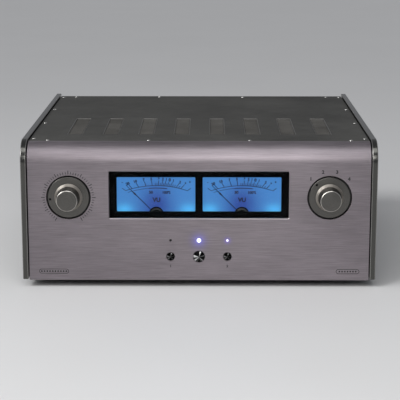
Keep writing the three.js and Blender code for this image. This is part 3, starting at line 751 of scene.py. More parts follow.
def selector_scale():
    numbers = []
    for number, angle in enumerate(SELECTOR_STOPS, 1):
        at = around(on_face("selector_knob"), angle, STOP_REACH) + PRINT_MIDDLE
        numbers.append(lettering("stop", str(number), 4.0, at, INK, bold=0.075))
    place(joined("selector_scale_print", numbers), "mask_black")


def button_numbers():
    for number, side in enumerate(SIDES, 1):
        at = on_face(f"{side}_button") + PRINT_MIDDLE - Vector((0, 0, NUMBER_DROP))
        made = lettering(f"{side}_button_number", str(number), 3.0, at, INK, bold=0.06)
        place(made, "mask_black")


PLATES = {"left": (-181.2, 18.6), "right": (185.6, 14.6)}  # middle and half width of each name plate
PLATE_Z = 20.3
PLATE_HALF_HEIGHT = 3.1
PLATE_LINE = 0.7
PLATE_DOT_PITCH = 3.4
PLATE_DOT_RADIUS = 1.1


def name_plates():
    """Round-ended frames with a plain row of dots in the lower corners, where a name would be printed."""
    front, back = FACE - PRINT_PROUD, FACE + PRINT_SUNK
    levels = [(front, 0), (front, -PLATE_LINE), (back, -PLATE_LINE), (back, 0)]
    radius = PLATE_DOT_RADIUS
    dot = [(0, -PRINT_PROUD), (radius, -PRINT_PROUD), (radius, PRINT_SUNK), (0, PRINT_SUNK)]
    for side, (x, half) in PLATES.items():
        size = (half, PLATE_HALF_HEIGHT)
        bm = bmesh.new()
        rounded_block(bm, (x, PLATE_Z), size, PLATE_HALF_HEIGHT - 0.01, levels, steps=8, closed=True)
        gaps = int(2 * (half - 3) / PLATE_DOT_PITCH)
        for i in range(gaps + 1):
            spin(bm, dot, Vector((x + (i - gaps / 2) * PLATE_DOT_PITCH, FACE, PLATE_Z)), segments=20)
        place(finished(f"{side}_name_plate", bm, INK), "mask_black")


# ---- knobs, buttons and lamps ----
KNOB_RADIUS = 14
KNOB_CHAMFER = 0.8
TIP_RADIUS = 13.0
BOSS_END = -10  # the boss is plain down to here
CONE_START = -5.0  # and the cone spreads from here to the disc
COLLAR_RADIUS = 17.2
DISC_BACK = 2.6
SHAFT_BORE = (3.3, -12)  # radius and end of the hole for the shaft
DOT_ANGLE = {"volume_knob": -96, "selector_knob": -45}
DOT_REACH = 22.8
BUTTON_EDGE = 0.7  # how far the edge of a button stands out of the panel
BEHIND_PANEL = PANEL_THICK + 0.7
BUTTON_FLANGE = 1.4  # thickness of the flange that keeps a button in
CHROME_SHADE = {"power": 0.085, "left": 0.024, "right": 0.024}


def knob(node, body):
    """A knob turned from bar: a boss with a cut edge, on a hollow cone and a flat disc. The cut edge and the
    cone carry painted highlights, lighter copies of the knob's metal.
    """
    centre = on_face(node)
    low, high = corners(node)
    tip, rim = low.y - FACE, (high.x - low.x) / 2
    bore, bore_end = SHAFT_BORE
    painted_highlight_edge = [(TIP_RADIUS - KNOB_CHAMFER, tip), (TIP_RADIUS, tip + KNOB_CHAMFER)]
    boss = [(0, tip + 0.02), *painted_highlight_edge, (KNOB_RADIUS, BOSS_END)]
    cone = [(KNOB_RADIUS + 0.2, CONE_START), (COLLAR_RADIUS - 0.8, -1.3), (COLLAR_RADIUS, 0)]
    disc = [(COLLAR_RADIUS, 0), (rim - 0.35, 0), (rim, 0.35), (rim, DISC_BACK), (rim - 1, DISC_BACK)]
    inside = [(bore, DISC_BACK), (bore, bore_end), (0, bore_end)]
    front = softened(boss, 0.12)[:-1] + softened([boss[-1], *cone], 1.4, 6)[:-1]
    profile = front + softened(disc + inside, 0.1)
    look = turned_metal(f"{node}_metal", centre)
    made = turned(f"{node}_turned", profile, centre, look, limit=28, segments=160)

    def on_cut_edge(at, _):
        return 0.05 < at.y - FACE - tip < KNOB_CHAMFER - 0.05

    def on_cone(at, _):
        reach = math.hypot(at.x - centre.x, at.z - centre.z)
        return CONE_START + 0.4 < at.y - FACE < -0.2 and KNOB_RADIUS + 0.3 < reach < COLLAR_RADIUS

    # painted highlights: lighter copies of the knob's metal on its cut edge and on its cone
    repaint(made, turned_metal(f"{node}_painted_highlight_edge", centre, (0.6, 0.58, 0.54), 0.3), on_cut_edge)
    repaint(made, turned_metal(f"{node}_cone", centre, (0.66, 0.62, 0.56), 0.4, 0.0), on_cone)
    place(made, "satin_metal", node, body=body)
    pin = softened([(0, -0.2), (1.3, -0.2), (1.5, 0), (1.5, 1), (0, 1)], 0.06)
    at = around(centre, DOT_ANGLE[node], DOT_REACH)
    place(turned(f"{node}_pointer_dot", pin, at, GLOSS_BLACK, segments=32), "mask_black", body=body)


def button(name, radius):
    """A spun button with a low cone on its front."""
    node = f"{name}_button"
    centre = on_face(node)
    low, high = corners(node)
    tip, rear = low.y - FACE, high.y - FACE
    front, back = BEHIND_PANEL, BEHIND_PANEL + BUTTON_FLANGE
    cone = [(0, tip), (radius - 0.25, -BUTTON_EDGE - 0.1), (radius, -BUTTON_EDGE + 0.2)]
    flange = [(radius, front), (radius + 1.5, front), (radius + 1.5, back)]
    profile = softened([*cone, *flange, (2.5, back), (2.5, rear), (0, rear)], 0.2, 3)
    chrome = spun_chrome(f"{name}_button_chrome", centre, CHROME_SHADE[name])
    made = turned(f"{name}_button_spun", profile, centre, chrome, limit=40, segments=96)
    place(made, "button_chrome", node, body=f"{name}_key")


def led(name, radius, proud, look, slot):
    """A light guide with a domed end."""
    node = f"{name}_led"
    rear = corners(node)[1].y - FACE
    stem = [(radius, BEHIND_PANEL), (radius * 0.8, 12), (radius * 0.8, rear), (0, rear)]
    profile = dome(radius, proud, 0, 10) + stem
    place(turned(f"{name}_lamp", profile, on_face(node), look, segments=40), slot, node)


# ---- meters ----
LIT_HALF = (48.65, 21.65)
MASK_CHAMFER = 0.45
PIVOT_DROP = 28  # from the middle of the lit opening down to the needle's pivot
SCALE_RADIUS = 118
SCALE_TOP = 8.4
SCALE_ENDS = (-38.3, 38.6)
SCALE_HOOK = (4.3, 3.1)  # the scale arc's ends turn out and up by this
INNER_ARC = 3.1  # from the scale arc down to the one below it
INNER_ARCS = ((-35.4, -9, 24, 0.6), (-9, 13.5, 20, 1.1))  # start, end, steps and width
NUMERAL_RISE = 8.3  # from the scale arc out to the middle of a numeral
DIAL_SLOT = (4.5, 23)  # half width, and top below the middle of the lit opening
DIAL_PROUD = 0.04
DIAL_BOLD = 0.085
DECIBELS = (  # label, and degrees from upright about the needle's pivot
    ("20", -42.6), ("10", -32.4), ("7", -19.7), ("5", -8), ("3", 4), ("2", 10.5), ("1", 15.8),
    ("0", 21), ("1", 26.5), ("2", 36), ("3", 43),
)
MINOR_TICKS = (-2, 1.2, 7.3, 13.2, 18.4, 23.8, 29.5, 32.7, 39.5)
DIAL_WORDS = (  # text, place from the middle of the lit opening, and height
    ("50", -6.8, -0.2, 3.3), ("100%", 12.3, -0.4, 3.3), ("VU", 0.2, -9.8, 5.0),
    ("-", -42.4, 12.6, 2.8), ("+", 41.8, 12.8, 2.8),
)


def meter_centre(side):
    return Vector((middle(f"{side}_meter_body").x, FACE, middle("meter_window").z))


def pane_and_mask():
    low, high = corners("meter_window")
    section = (((low + high) / 2).xz, ((high - low) / 2).xz, 1)
    bm = bmesh.new()
    rounded_block(bm, *section, [(low.y, 0), (high.y, 0)])
    round_edges(bm, 0.25, 2)
    place(finished("meter_pane", bm, GLASS), "meter_glass", "meter_window")
    low, high = corners("meter_mask")
    bm = bmesh.new()
    rounded_block(bm, *section, [(low.y, 0), (high.y, 0)])
    mask = finished("meter_mask_plate", bm, GLOSS_BLACK)
    levels = [(low.y - 1, 1 + MASK_CHAMFER), (low.y + MASK_CHAMFER, 0), (high.y + 1, 0)]
    cutters = bmesh.new()
    for side in SIDES:
        rounded_block(cutters, meter_centre(side).xz, LIT_HALF, WINDOW_CORNER, levels)
    carve(mask, cutters)
    place(mask, "mask_black", "meter_mask")


def dial(side):
    """The lit card, with a slot in its lower edge for the needle's hub, and its print."""
    node = f"{side}_meter_dial"
    low, high = corners(node)
    centre = meter_centre(side)
    half, drop = DIAL_SLOT
    left, right, notch = centre.x - half, centre.x + half, centre.z - drop
    slot = [(left, low.z), (left, notch), (right, notch), (right, low.z)]
    outline = [(low.x, low.z), *slot, (high.x, low.z), (high.x, high.z), (low.x, high.z)]
    bm = bmesh.new()
    prism(bm, outline, "Y", low.y, high.y)
    card = finished(f"{side}_dial_card", bm, lit_dial(f"{side}_dial_light", centre))
    place(card, "dial_blue", node)
    dial_print(side, centre, low.y)


def ribbon(bm, points, width, front):
    """A printed line of even width through points in X and Z, on a face whose front is at y = front."""
    path = [Vector((x, front - DIAL_PROUD, z)) for x, z in points]
    edges = []
    for i, point in enumerate(path):
        along = path[min(i + 1, len(path) - 1)] - path[max(i - 1, 0)]
        side = Vector((-along.z, 0, along.x)).normalized() * (width / 2)
        edges.append((bm.verts.new(point + side), bm.verts.new(point - side)))
    for a, b in zip(edges, edges[1:]):
        bm.faces.new([a[0], b[0], b[1], a[1]])


def scale_arc(centre, radius, start, end, steps):
    """Points along a scale arc between two x positions."""
    axis = (centre.x, centre.z + SCALE_TOP - SCALE_RADIUS)
    angles = [90 - math.degrees(math.asin(x / radius)) for x in (start, end)]
    return arc(axis, radius, *angles, steps)


def scale_reach(angle):
    """How far the scale arc is from the needle's pivot in a direction."""
    turn = math.radians(angle)
    drop = SCALE_RADIUS - SCALE_TOP - PIVOT_DROP
    return math.sqrt(SCALE_RADIUS**2 - (drop * math.sin(turn)) ** 2) - drop * math.cos(turn)


def dial_print(side, centre, front):
    pivot = Vector((centre.x, front, centre.z - PIVOT_DROP))
    ink = Vector((0, -DIAL_PROUD, 0))
    bm = bmesh.new()
    outer = scale_arc(centre, SCALE_RADIUS, *SCALE_ENDS, 40)
    out, up = SCALE_HOOK
    hooks = [(x + sign * out, z + up) for (x, z), sign in ((outer[0], -1), (outer[-1], 1))]
    ribbon(bm, [hooks[0], *outer, hooks[1]], 0.8, front)
    for start, end, steps, width in INNER_ARCS:
        ribbon(bm, scale_arc(centre, SCALE_RADIUS - INNER_ARC, start, end, steps), width, front)
    ticks = [(angle, 5.2 if label == "0" else 6.2, 0.85) for label, angle in DECIBELS]
    ticks += [(angle, 3.4, 0.72) for angle in MINOR_TICKS]
    for angle, length, width in ticks:
        inner = scale_reach(angle)
        ribbon(bm, [around(pivot, angle, reach).xz for reach in (inner, inner + length)], width, front)
    prints = [finished("lines", bm, DIAL_INK)]
    for label, angle in DECIBELS:
        at = around(pivot, angle, scale_reach(angle) + NUMERAL_RISE) + ink
        height = 3.6 if label == "0" else 3.1
        prints.append(lettering("numeral", label, height, at, DIAL_INK, turn=angle * 0.5, bold=DIAL_BOLD))
    for text, x, z, height in DIAL_WORDS:
        at = Vector((centre.x + x, front, centre.z + z)) + ink
        prints.append(lettering("word", text, height, at, DIAL_INK, bold=DIAL_BOLD))
    place(joined(f"{side}_dial_print", prints), "needle_navy")


def needle(side):
    """A blade that widens to a leaf near its tip, and a hub with the moving coil behind the dial."""
    node = f"{side}_meter_needle"
    pivot = meter_centre(side) - Vector((0, 0, PIVOT_DROP))
    low, high = corners(node)
    tip = Vector((low.x - pivot.x, high.z - pivot.z))
    reach = tip.length - 0.3
    leaf = [(0.46, 34.5), (0.75, 35.8), (1.15, 37.8), (0.9, 39.4), (0.44, 40.8)]
    outline = [(-0.6, -8), (0.6, -8), *leaf, (0.28, reach - 0.4), (0, reach)]
    outline += [(-x, z) for x, z in reversed(outline[2:-1])]
    bm = bmesh.new()
    prism(bm, outline, "Y", 14.2, 14.8)
    round_edges(bm, 0.1, 1, 60)
    bm.transform(Matrix.Translation(pivot) @ Matrix.Rotation(math.atan2(tip.x, tip.y), 4, "Y"))
    hub = [(0, 13.2), (3.2, 13.2), (3.2, 16.5), (0.8, 16.5)]
    coil = [(0.8, 22.5), (5.5, 22.5), (5.5, 36), (0.8, 36), (0.8, 41), (0, 41)]
    spin(bm, softened(hub + coil, 0.2, 2), pivot, segments=40)
    place(finished(f"{side}_needle_pointer", bm, NEEDLE), "needle_navy", node, body=f"{side}_needle")


DOME_RADIUS = 9.3
DOME_HEIGHT = 2.2
DOME_BASE = 12.7  # behind the panel's face
DOME_DROP = 26.5


def pivot_dome(side):
    """The half-round black cap that hides the needle's pivot."""
    centre = meter_centre(side) - Vector((0, 0, DOME_DROP))
    back = DOME_BASE + 0.2
    profile = dome(DOME_RADIUS, DOME_HEIGHT, DOME_BASE, 9) + [(DOME_RADIUS, back), (0, back)]
    place(turned(f"{side}_pivot_dome", profile, centre, GLOSS_BLACK), "mask_black")


# ---- casing ----
VENT_COUNT = 8
VENT_PITCH = 45.4
VENT_HALF = (9.35, 64.5)
VENT_BEVEL = 0.6
VENT_FRONT = 74  # behind the panel's face
SCREW_INSET = 4.5  # of the side screws, from the cover's edge
SIDE_SCREW_Y = (41, 165, 287, 410)
END_SCREW_X = (-189, -63, 63, 189)
END_SCREW_Y = (28.5, 415)
WEAVE_PITCH = 2.0
WIRE_RADIUS = 0.42
WEAVE_MARGIN = 0.6  # from a vent's edge
RIM_MARGINS = (0.3, 0.9)  # from a vent's edge to the outside and the inside of the mesh's rim
CARRIER_THICK = 0.8


def vent_middles():
    y = FACE + VENT_FRONT + VENT_HALF[1]
    return [((i - (VENT_COUNT - 1) / 2) * VENT_PITCH, y) for i in range(VENT_COUNT)]


def vent_half(margin):
    """Half the size of a vent, less a margin all round."""
    return [half - margin for half in VENT_HALF]


def screw_places():
    ends = [(x, y) for x in END_SCREW_X for y in END_SCREW_Y]
    sides = [(x, y) for y in SIDE_SCREW_Y for x in (COVER_LOW.x + SCREW_INSET, COVER_HIGH.x - SCREW_INSET)]
    return [Vector((x, FACE + y, COVER_HIGH.z)) for x, y in ends + sides]


def on_vent_bevel(at, normal):
    reach = vent_half(-2 * VENT_BEVEL)
    near = any(abs(at.x - x) < reach[0] and abs(at.y - y) < reach[1] for x, y in vent_middles())
    in_depth = abs(at.z - COVER_HIGH.z + VENT_BEVEL / 2) < VENT_BEVEL / 4
    return near and in_depth and 0.1 <= abs(normal.z) <= 0.9


def top_cover():
    bm = bmesh.new()
    block(bm, COVER_LOW, COVER_HIGH)
    round_edges(bm, 0.3, 2)
    cover = finished("cover_plate", bm, COVER)
    top = COVER_HIGH.z
    levels = [(top + 1, 1 + VENT_BEVEL), (top - VENT_BEVEL, 0), (COVER_LOW.z - 1, 0)]
    cutters = bmesh.new()
    for centre in vent_middles():
        rounded_block(cutters, centre, VENT_HALF, 0.5, levels, "Z", 4)
    for at in screw_places():
        spin(cutters, [(0, -0.5), (3, -0.5), (3, 1), (0, 1)], at, "Z", 32)
    carve(cover, cutters)
    # painted highlight: the vents' bevels get bright metal
    repaint(cover, VENT_PAINTED_HIGHLIGHT, on_vent_bevel)
    even_shading(cover)
    place(cover, "cover_grey", "top_cover")


def wire(bm, points, across):
    """A thin square wire through points, with one of its side directions given."""
    out, up = across * WIRE_RADIUS, Vector((0, 0, WIRE_RADIUS))
    loft(bm, [[point + side for side in (out, up, -out, -up)] for point in points])


def vent_weave():
    """Woven steel wire in the vents: straight wires along, waved wires across."""
    level = corners("vent_mesh")[1].z - 2 * WIRE_RADIUS
    half_x, half_y = vent_half(WEAVE_MARGIN)
    columns, rows = int(2 * half_x / WEAVE_PITCH), int(2 * half_y / WEAVE_PITCH)
    bm = bmesh.new()
    for x, y in vent_middles():
        columns_at = [x + (i - columns / 2) * WEAVE_PITCH for i in range(columns + 1)]
        for at in columns_at:
            wire(bm, [Vector((at, y + end * half_y, level)) for end in (-1, 1)], Vector((1, 0, 0)))
        for k in range(rows + 1):
            row_at = y + (k - rows / 2) * WEAVE_PITCH
            points = [Vector((x - half_x, row_at, level))]
            for i, at in enumerate(columns_at):
                lift = WIRE_RADIUS if (i + k) % 2 else -WIRE_RADIUS
                points.append(Vector((at, row_at, level + lift)))
            points.append(Vector((x + half_x, row_at, level)))
            wire(bm, points, Vector((0, 1, 0)))
    place(finished("vent_weave", bm, MESH_STEEL, limit=60), "mesh_steel", "vent_mesh")


def mesh_carrier():
    """The sheet under the cover that holds the weave, with a thin rim standing up round each piece."""
    low, high = corners("vent_mesh")
    top = low.z + CARRIER_THICK
    bm = bmesh.new()
    block(bm, low, (high.x, high.y, top))
    sheet = finished("vent_mesh_carrier", bm, MESH_STEEL)
    outer, inner = (vent_half(margin) for margin in RIM_MARGINS)
    cutters = bmesh.new()
    rims = bmesh.new()
    for x, y in vent_middles():
        block(cutters, (x - inner[0], y - inner[1], low.z - 1), (x + inner[0], y + inner[1], low.z + 2))
        levels = ((outer, top), (outer, high.z), (inner, high.z), (inner, top))
        loft(rims, [at_level(rounded_rectangle((x, y), half, 0.4, 2), "Z", z) for half, z in levels], True)
    carve(sheet, cutters)
    made = joined("vent_mesh_frame", [sheet, finished("rims", rims, MESH_STEEL)])
    place(made, "mesh_steel")


def cheek(side):
    node = f"{side}_cheek"
    low, high = corners(node)
    outline = [(low.y, low.z), (high.y, low.z), (high.y, high.z)]
    outline += arc(BEND_CENTRE, BEND_CENTRE[0] - low.y, 90, 180, 40)
    bm = bmesh.new()
    prism(bm, outline, "X", low.x, high.x)
    round_edges(bm, 0.95, 3, 60)
    made = finished(f"{side}_cheek_plate", bm, SATIN, limit=50)
    # painted highlight: the cheeks' rounded edges get a lighter copy of their metal
    repaint(made, CHEEK_PAINTED_HIGHLIGHT, lambda _, normal: 0.2 < abs(normal.x) < 0.98)
    even_shading(made)
    place(made, "satin_metal", node)


def socket_screw(bm, at):
    """A low button head with a hexagon socket, standing on a horizontal surface."""
    radius, head, socket = 2.6, 1.1, 1.25
    angles = [math.radians(a) for a in (0, 25, 50, 70)]
    rounded = [(radius * math.cos(a), head * math.sin(a)) for a in angles]
    recess = [(socket, head), (socket, head - 0.9), (0, head - 0.9)]
    spin(bm, [(0, -0.5), (radius, -0.5), *rounded, *recess], at, "Z", 36)


def cover_screws():
    for number, at in enumerate(screw_places(), 1):
        bm = bmesh.new()
        socket_screw(bm, at - Vector((0, 0, 0.35)))
        place(finished(f"cover_screw_{number:02d}", bm, SCREW_STEEL), "zinc_steel")


def foot(node):
    low, high = corners(node)
    centre = (low + high) / 2
    radius = (high.x - low.x) / 2
    tread = [(0, low.z), (radius - 2.5, low.z), (radius - 0.3, 1.9), (radius, 3)]
    profile = tread + [(radius, high.z - 0.5), (radius - 0.5, high.z), (0, high.z)]
    at = Vector((centre.x, centre.y, 0))
    pad = turned(f"{node}_pad", softened(profile, 0.4), at, RUBBER, axis="Z", segments=96)
    place(pad, "foot_rubber", node)


# ---- rear ----
TERMINALS = [f"{side}_{sign}_terminal" for side in SIDES for sign in ("positive", "negative")]
CAP_LOOKS = {"positive": (CAP_RED, "cap_red"), "negative": (CAP_BLACK, "cap_black")}
REAR_THICK = 3
REAR_HOLE = [(0, -5), (5.6, -5), (5.6, 2), (0, 2)]  # for a socket or a terminal
PHONO_COLUMNS = 4
PHONO_PITCH = 22
PHONO_Z = 144
INLET_DROP = 17  # from the middle of the inlet with its fuse drawer down to the middle of its socket
INLET_PINS = ((-7, -3.7), (7, -3.7), (0, 1.2))  # lower end of each pin, from the middle of the socket
ROCKER_PIVOT = (-2.5, 81)  # place from the rear face, and height
ROCKER_TILT = 8  # degrees
CAP_FLUTES = (24, 0.42)  # how many, and how deep
REAR_SCREW_INSET = (7, 8)  # from the rear panel's sides, and from its top and bottom
REAR_SCREW_X = (-95, 0, 95)
REAR_SCREW_Z = 95
MARKS_PROUD = 0.02


def cap_looks(node):
    return CAP_LOOKS["positive" if "positive" in node else "negative"]


def phono_places():
    """The lower row of sockets and then the upper one."""
    x = middle("input_sockets").x
    places = []
    for row in (-0.5, 0.5):
        for i in range(PHONO_COLUMNS):
            across = (i - (PHONO_COLUMNS - 1) / 2) * PHONO_PITCH
            places.append(Vector((x + across, REAR_FACE, PHONO_Z + row * PHONO_PITCH)))
    return places


def rear_panel():
    low, high = corners("rear_panel")
    inner = REAR_FACE - REAR_THICK
    bm = bmesh.new()
    block(bm, (low.x, inner, low.z), high)
    round_edges(bm, 0.35, 2)
    sheet = finished("rear_sheet", bm, SHEET)
    cutters = bmesh.new()
    for at in [on_rear(node) for node in TERMINALS] + phono_places():
        spin(cutters, REAR_HOLE, at, segments=48)
    inlet_low, inlet_high = corners("mains_inlet")
    start = (inlet_low.x + 1, inner - 2, inlet_low.z + 2.5)
    block(cutters, start, (inlet_high.x - 1, high.y + 2, inlet_high.z - 2.5))
    carve(sheet, cutters)
    even_shading(sheet)
    place(sheet, "black_sheet", "rear_panel")
    bm = bmesh.new()
    block(bm, (low.x, low.y, high.z - 3), (high.x, inner, high.z))
    place(finished("rear_flange", bm, SHEET), "black_sheet")


def rear_screws():
    low, high = corners("rear_panel")
    inset_x, inset_z = REAR_SCREW_INSET
    bottom, top = low.z + inset_z, high.z - inset_z
    places = [(x, z) for x in (low.x + inset_x, high.x - inset_x) for z in (bottom, REAR_SCREW_Z, top)]
    places += [(x, z) for x in REAR_SCREW_X for z in (bottom, top)]
    lie = Matrix.Rotation(math.radians(-90), 4, "X")
    for number, (x, z) in enumerate(places, 1):
        bm = bmesh.new()
        socket_screw(bm, Vector((0, 0, 0)))
        bm.transform(Matrix.Translation(Vector((x, REAR_FACE - 0.1, z))) @ lie)
        place(finished(f"rear_screw_{number:02d}", bm, ZINC), "zinc_steel")


def input_sockets():
    """Gold barrels round white insulators in the upper row and red ones in the lower."""
    low, high = corners("input_sockets")
    bm = bmesh.new()
    block(bm, low, (high.x, REAR_FACE - REAR_THICK - GAP, high.z))
    round_edges(bm, 0.8, 2)
    place(finished("input_socket_block", bm, BLACK_PLASTIC), "black_plastic", "input_sockets")
    collar = [(5.3, -4.5), (5.3, 1.2), (5.0, 1.5), (4.15, 1.5), (4.15, 9.7), (3.85, 10), (3.5, 10)]
    barrel = collar + [(3.3, 9.6), (3.3, -4)]
    insulator = [(0, -4), (3.25, -4), (3.25, 8.6), (3.0, 8.9), (1.75, 8.9), (1.6, 8.6), (1.6, 2), (0, 2)]
    for number, at in enumerate(phono_places(), 1):
        made = turned(f"phono_barrel_{number}", barrel, at, GOLD, segments=48, closed=True)
        place(made, "gold_plate")
        upper = number > PHONO_COLUMNS
        look, slot = (INSULATOR_WHITE, "black_plastic") if upper else (INSULATOR_RED, "cap_red")
        place(turned(f"phono_insulator_{number}", insulator, at, look, segments=40), slot)


def terminal(node):
    """A gold post through the rear panel, with a coloured washer round its flange."""
    low, high = corners(node)
    start, end = low.y - REAR_FACE, high.y - REAR_FACE
    at = on_rear(node)
    inside = [(0, start), (2.5, start), (2.5, -9), (8, -9), (8, -3.3), (5.2, -3.3), (5.2, 0.3)]
    flange = [(8, 0.3), (8, 2.4), (7.2, 3.2), (6.4, 3.4), (6.4, 4.6), (5.9, 5)]
    stud = [(3, 5), (3, end - 0.6), (2.5, end), (0, end)]
    profile = softened(inside + flange + stud, 0.25, 2)
    place(turned(f"{node}_post", profile, at, GOLD, segments=60), "gold_plate", node)
    ring = [(6.56, 0.03), (8.06, 0.03), (8.06, 1.08), (7.76, 1.38), (6.56, 1.38)]
    look, slot = cap_looks(node)
    place(turned(f"{node}_washer", ring, at, look, segments=60, closed=True), slot)


def terminal_cap(node):
    """A fluted coloured grip with a gold crown."""
    cap = f"{node}_cap"
    body = node.replace("_terminal", "_cap")
    low, high = corners(cap)
    start, end = low.y - REAR_FACE, high.y - REAR_FACE
    radius = (high.x - low.x) / 2
    at = on_rear(node)
    bore = [(0, end - 2.5), (3.35, end - 2.5), (3.35, start)]
    outside = [(radius - 0.9, start), (radius, start + 0.8), (radius, end - 4.4), (radius - 0.7, end - 3.6)]
    profile = [*bore, *outside, (0, end - 3.55)]
    look, slot = cap_looks(node)
    grip = turned(f"{cap}_grip", profile, at, look, limit=50, segments=144, flutes=CAP_FLUTES)
    place(grip, slot, cap, body=body)
    rim = [(0, end - 3.6), (radius - 0.75, end - 3.6), (radius - 0.75, end - 0.6), (radius - 1.4, end)]
    crown = softened([*rim, (2.2, end), (1.9, end - 0.3), (0, end - 0.3)], 0.2, 2)
    place(turned(f"{cap}_crown", crown, at, GOLD), "gold_plate", body=body)


def inlet_pins():
    centre = middle("mains_inlet")
    bm = bmesh.new()
    for across, up in INLET_PINS:
        x, z = centre.x + across, centre.z - INLET_DROP + up
        block(bm, (x - 1.05, REAR_FACE - 15.9, z - 0.05), (x + 1.05, REAR_FACE + 0.1, z + 4.05))
    round_edges(bm, 0.45, 3)
    place(finished("inlet_pins", bm, NICKEL), "zinc_steel")


def rocker_marks():
    """A bar and a ring on the two ends of the mains rocker's key."""
    behind, height = ROCKER_PIVOT
    pivot = Vector((middle("mains_rocker").x, REAR_FACE + behind, height))
    inner, outer = 5.9, 6.16
    bm = bmesh.new()
    block(bm, (-0.35, 6.0, 3.4), (0.35, outer, 6.6))
    ring = [(1.25, inner), (1.9, inner), (1.9, outer), (1.25, outer)]
    spin(bm, ring, Vector((0, 0, -5)), segments=40, closed=True)
    bm.transform(Matrix.Translation(pivot) @ Matrix.Rotation(math.radians(ROCKER_TILT), 4, "X"))
    place(finished("rocker_marks", bm, WHITE_INK), "mesh_steel", body="rocker")


def rear_prints():
    """Numbers over the input sockets, L and R by their rows and the terminals, and the terminals' signs."""
    phonos = phono_places()
    marks = [(str(i), 3, at + Vector((0, 0, 12))) for i, at in enumerate(phonos[PHONO_COLUMNS:], 1)]
    for text, at in (("L", phonos[PHONO_COLUMNS]), ("R", phonos[0])):
        marks.append((text, 3, at - Vector((12, 0, 0))))
    for node in TERMINALS:
        marks.append(("+" if "positive" in node else "-", 4, on_rear(node) + Vector((0, 0, 14))))
    for side, sign in SIDES.items():
        marks.append((side[0].upper(), 3.5, Vector((sign * 50.5, REAR_FACE, middle(TERMINALS[0]).z - 14))))
    out = Vector((0, MARKS_PROUD, 0))
    prints = [lettering("mark", text, height, at + out, WHITE_INK, "rear") for text, height, at in marks]
    place(joined("rear_prints", prints), "mesh_steel")


# ---- inside ----
SLOT_LOOKS = {
    "black_sheet": SHEET,
    "satin_metal": SATIN,
    "plain_aluminium": MILL_ALUMINIUM,
    "zinc_steel": ZINC,
    "board_green": BOARD,
    "black_plastic": BLACK_PLASTIC,
    "transformer_wrap": TAPE,
    "capacitor_sleeve": SLEEVE,
}


def dress_frame_nodes():
    """Gives each CAD node whose slot has a look in SLOT_LOOKS its finish, joined facets and small rounded
    edges.
    """
    slots = {part["node"]: part["material_slot"] for part in frame["record"]["subparts"]}
    for name, node in frame["nodes"].items():
        if slots[name] not in SLOT_LOOKS:
            continue
        node.data.materials.clear()
        node.data.materials.append(SLOT_LOOKS[slots[name]])
        smooth(node.data, 30)
        weld = node.modifiers.new("weld", "WELD")
        weld.merge_threshold = 0.00001
        edge = node.modifiers.new("edges", "BEVEL")
        edge.width = 0.0003
        edge.segments = 2
        edge.limit_method = "ANGLE"
        edge.angle_limit = math.radians(50)
        edge.harden_normals = False


def board_parts():
    """Small parts on the amplifier boards, in rows that face the middle of the case."""
    capacitors, relays = bmesh.new(), bmesh.new()
    for side, sign in SIDES.items():
        low, high = corners(f"{side}_amplifier_board")
        face = low.x if sign > 0 else high.x
        for i in range(6):
            for k in range(3):
                at = Vector((face - sign * 3.4, low.y + 14 + i * 27, low.z + 20 + k * 34))
                size = Vector((3.2, 4 + (i + k) % 3 * 1.5, 3.5 + (i * k) % 3))
                block(capacitors if (i + k) % 2 else relays, at - size, at + size)
    for bm, name, look, slot in (
        (capacitors, "capacitors", SLEEVE, "capacitor_sleeve"),
        (relays, "relays", ZINC, "zinc_steel"),
    ):
        round_edges(bm, 0.6, 2)
        place(finished(f"amplifier_board_{name}", bm, look), slot)


# ---- building ----
front_panel()
pocket_liners()
volume_scale()
selector_scale()
button_numbers()
name_plates()
for control in ("volume", "selector"):
    knob(f"{control}_knob", f"{control}_control")
for name, radius in BUTTON_RADIUS.items():
    button(name, radius)
for name, details in LAMPS.items():
    led(name, *details)
pane_and_mask()
for side in SIDES:
    dial(side)
    needle(side)
    pivot_dome(side)
    cheek(side)
top_cover()
vent_weave()
mesh_carrier()
cover_screws()
for end in ("front", "rear"):
    for side in SIDES:
        foot(f"foot_{end}_{side}")
rear_panel()
rear_screws()
input_sockets()
for node in TERMINALS:
    terminal(node)
    terminal_cap(node)
inlet_pins()
rocker_marks()
rear_prints()
dress_frame_nodes()
board_parts()


# ---- studio ----
FLOOR_REACH = 40000


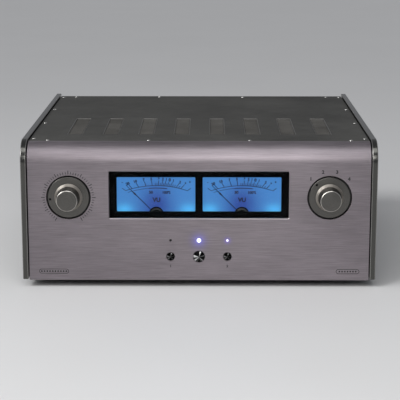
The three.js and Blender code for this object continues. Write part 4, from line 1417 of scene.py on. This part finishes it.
def floor():
    bm = bmesh.new()
    block(bm, (-FLOOR_REACH, -FLOOR_REACH, -20), (FLOOR_REACH, FLOOR_REACH, 0))
    look = Look("studio_floor", (0.62, 0.62, 0.62), 0.5)
    look.tint(look.noise(3, 2.0), 0.99, 1.01)
    finished("studio_floor", bm, look.material)


def light(name, kind, power, direction, at=(0, 0, 0)):
    """A light at a place in metres, shining along a direction."""
    data = bpy.data.lights.new(name, kind)
    data.energy = power
    made = added(name, data)
    made.location = at
    made.rotation_mode = "QUATERNION"
    made.rotation_quaternion = Vector(direction).to_track_quat("-Z", "Y")
    return data


def softbox(name, at, towards, size, power, colour=(1, 1, 1)):
    data = light(name, "AREA", power, Vector(towards) - Vector(at), at)
    data.shape = "RECTANGLE"
    data.size, data.size_y = size
    data.color = colour


def studio():
    floor()
    centre = (0, -0.1, 0.1)
    light("key", "SUN", 1.4, (0.62, 0.55, -0.75)).angle = math.radians(24)
    softbox("front_strip", (0.02, -1.35, 0.7), (0, -0.24, 0.16), (0.62, 0.36), 4.6, (1, 0.985, 0.97))
    softbox("overhead", (0, -0.95, 1.68), centre, (1.1, 0.75), 7)
    softbox("left_side", (-1.35, -0.65, 1.0), centre, (0.8, 0.8), 9)
    world = bpy.data.worlds.new("studio")
    world.use_nodes = True
    background = world.node_tree.nodes["Background"]
    background.inputs["Color"].default_value = (0.93, 0.95, 1.0, 1)
    background.inputs["Strength"].default_value = 0.3
    bpy.context.scene.world = world
    bpy.context.scene.view_settings.view_transform = "Standard"


CAMERA_PLACE = Vector((13.154, -1692.263, 468.611))  # from the middle of the panel's lower edge
CAMERA_TILT = 0.213  # radians down from level
CAMERA_TURN = 0.007


def camera():
    data = bpy.data.cameras.new("camera")
    data.sensor_width = 36
    data.lens = 126.05
    data.clip_start, data.clip_end = 0.05, 200
    made = added("camera", data)
    made.location = (Vector((0, FACE, PANEL_LOW.z)) + CAMERA_PLACE) * MM
    made.rotation_euler = (math.radians(90) - CAMERA_TILT, 0, CAMERA_TURN)
    bpy.context.scene.camera = made


studio()
camera()
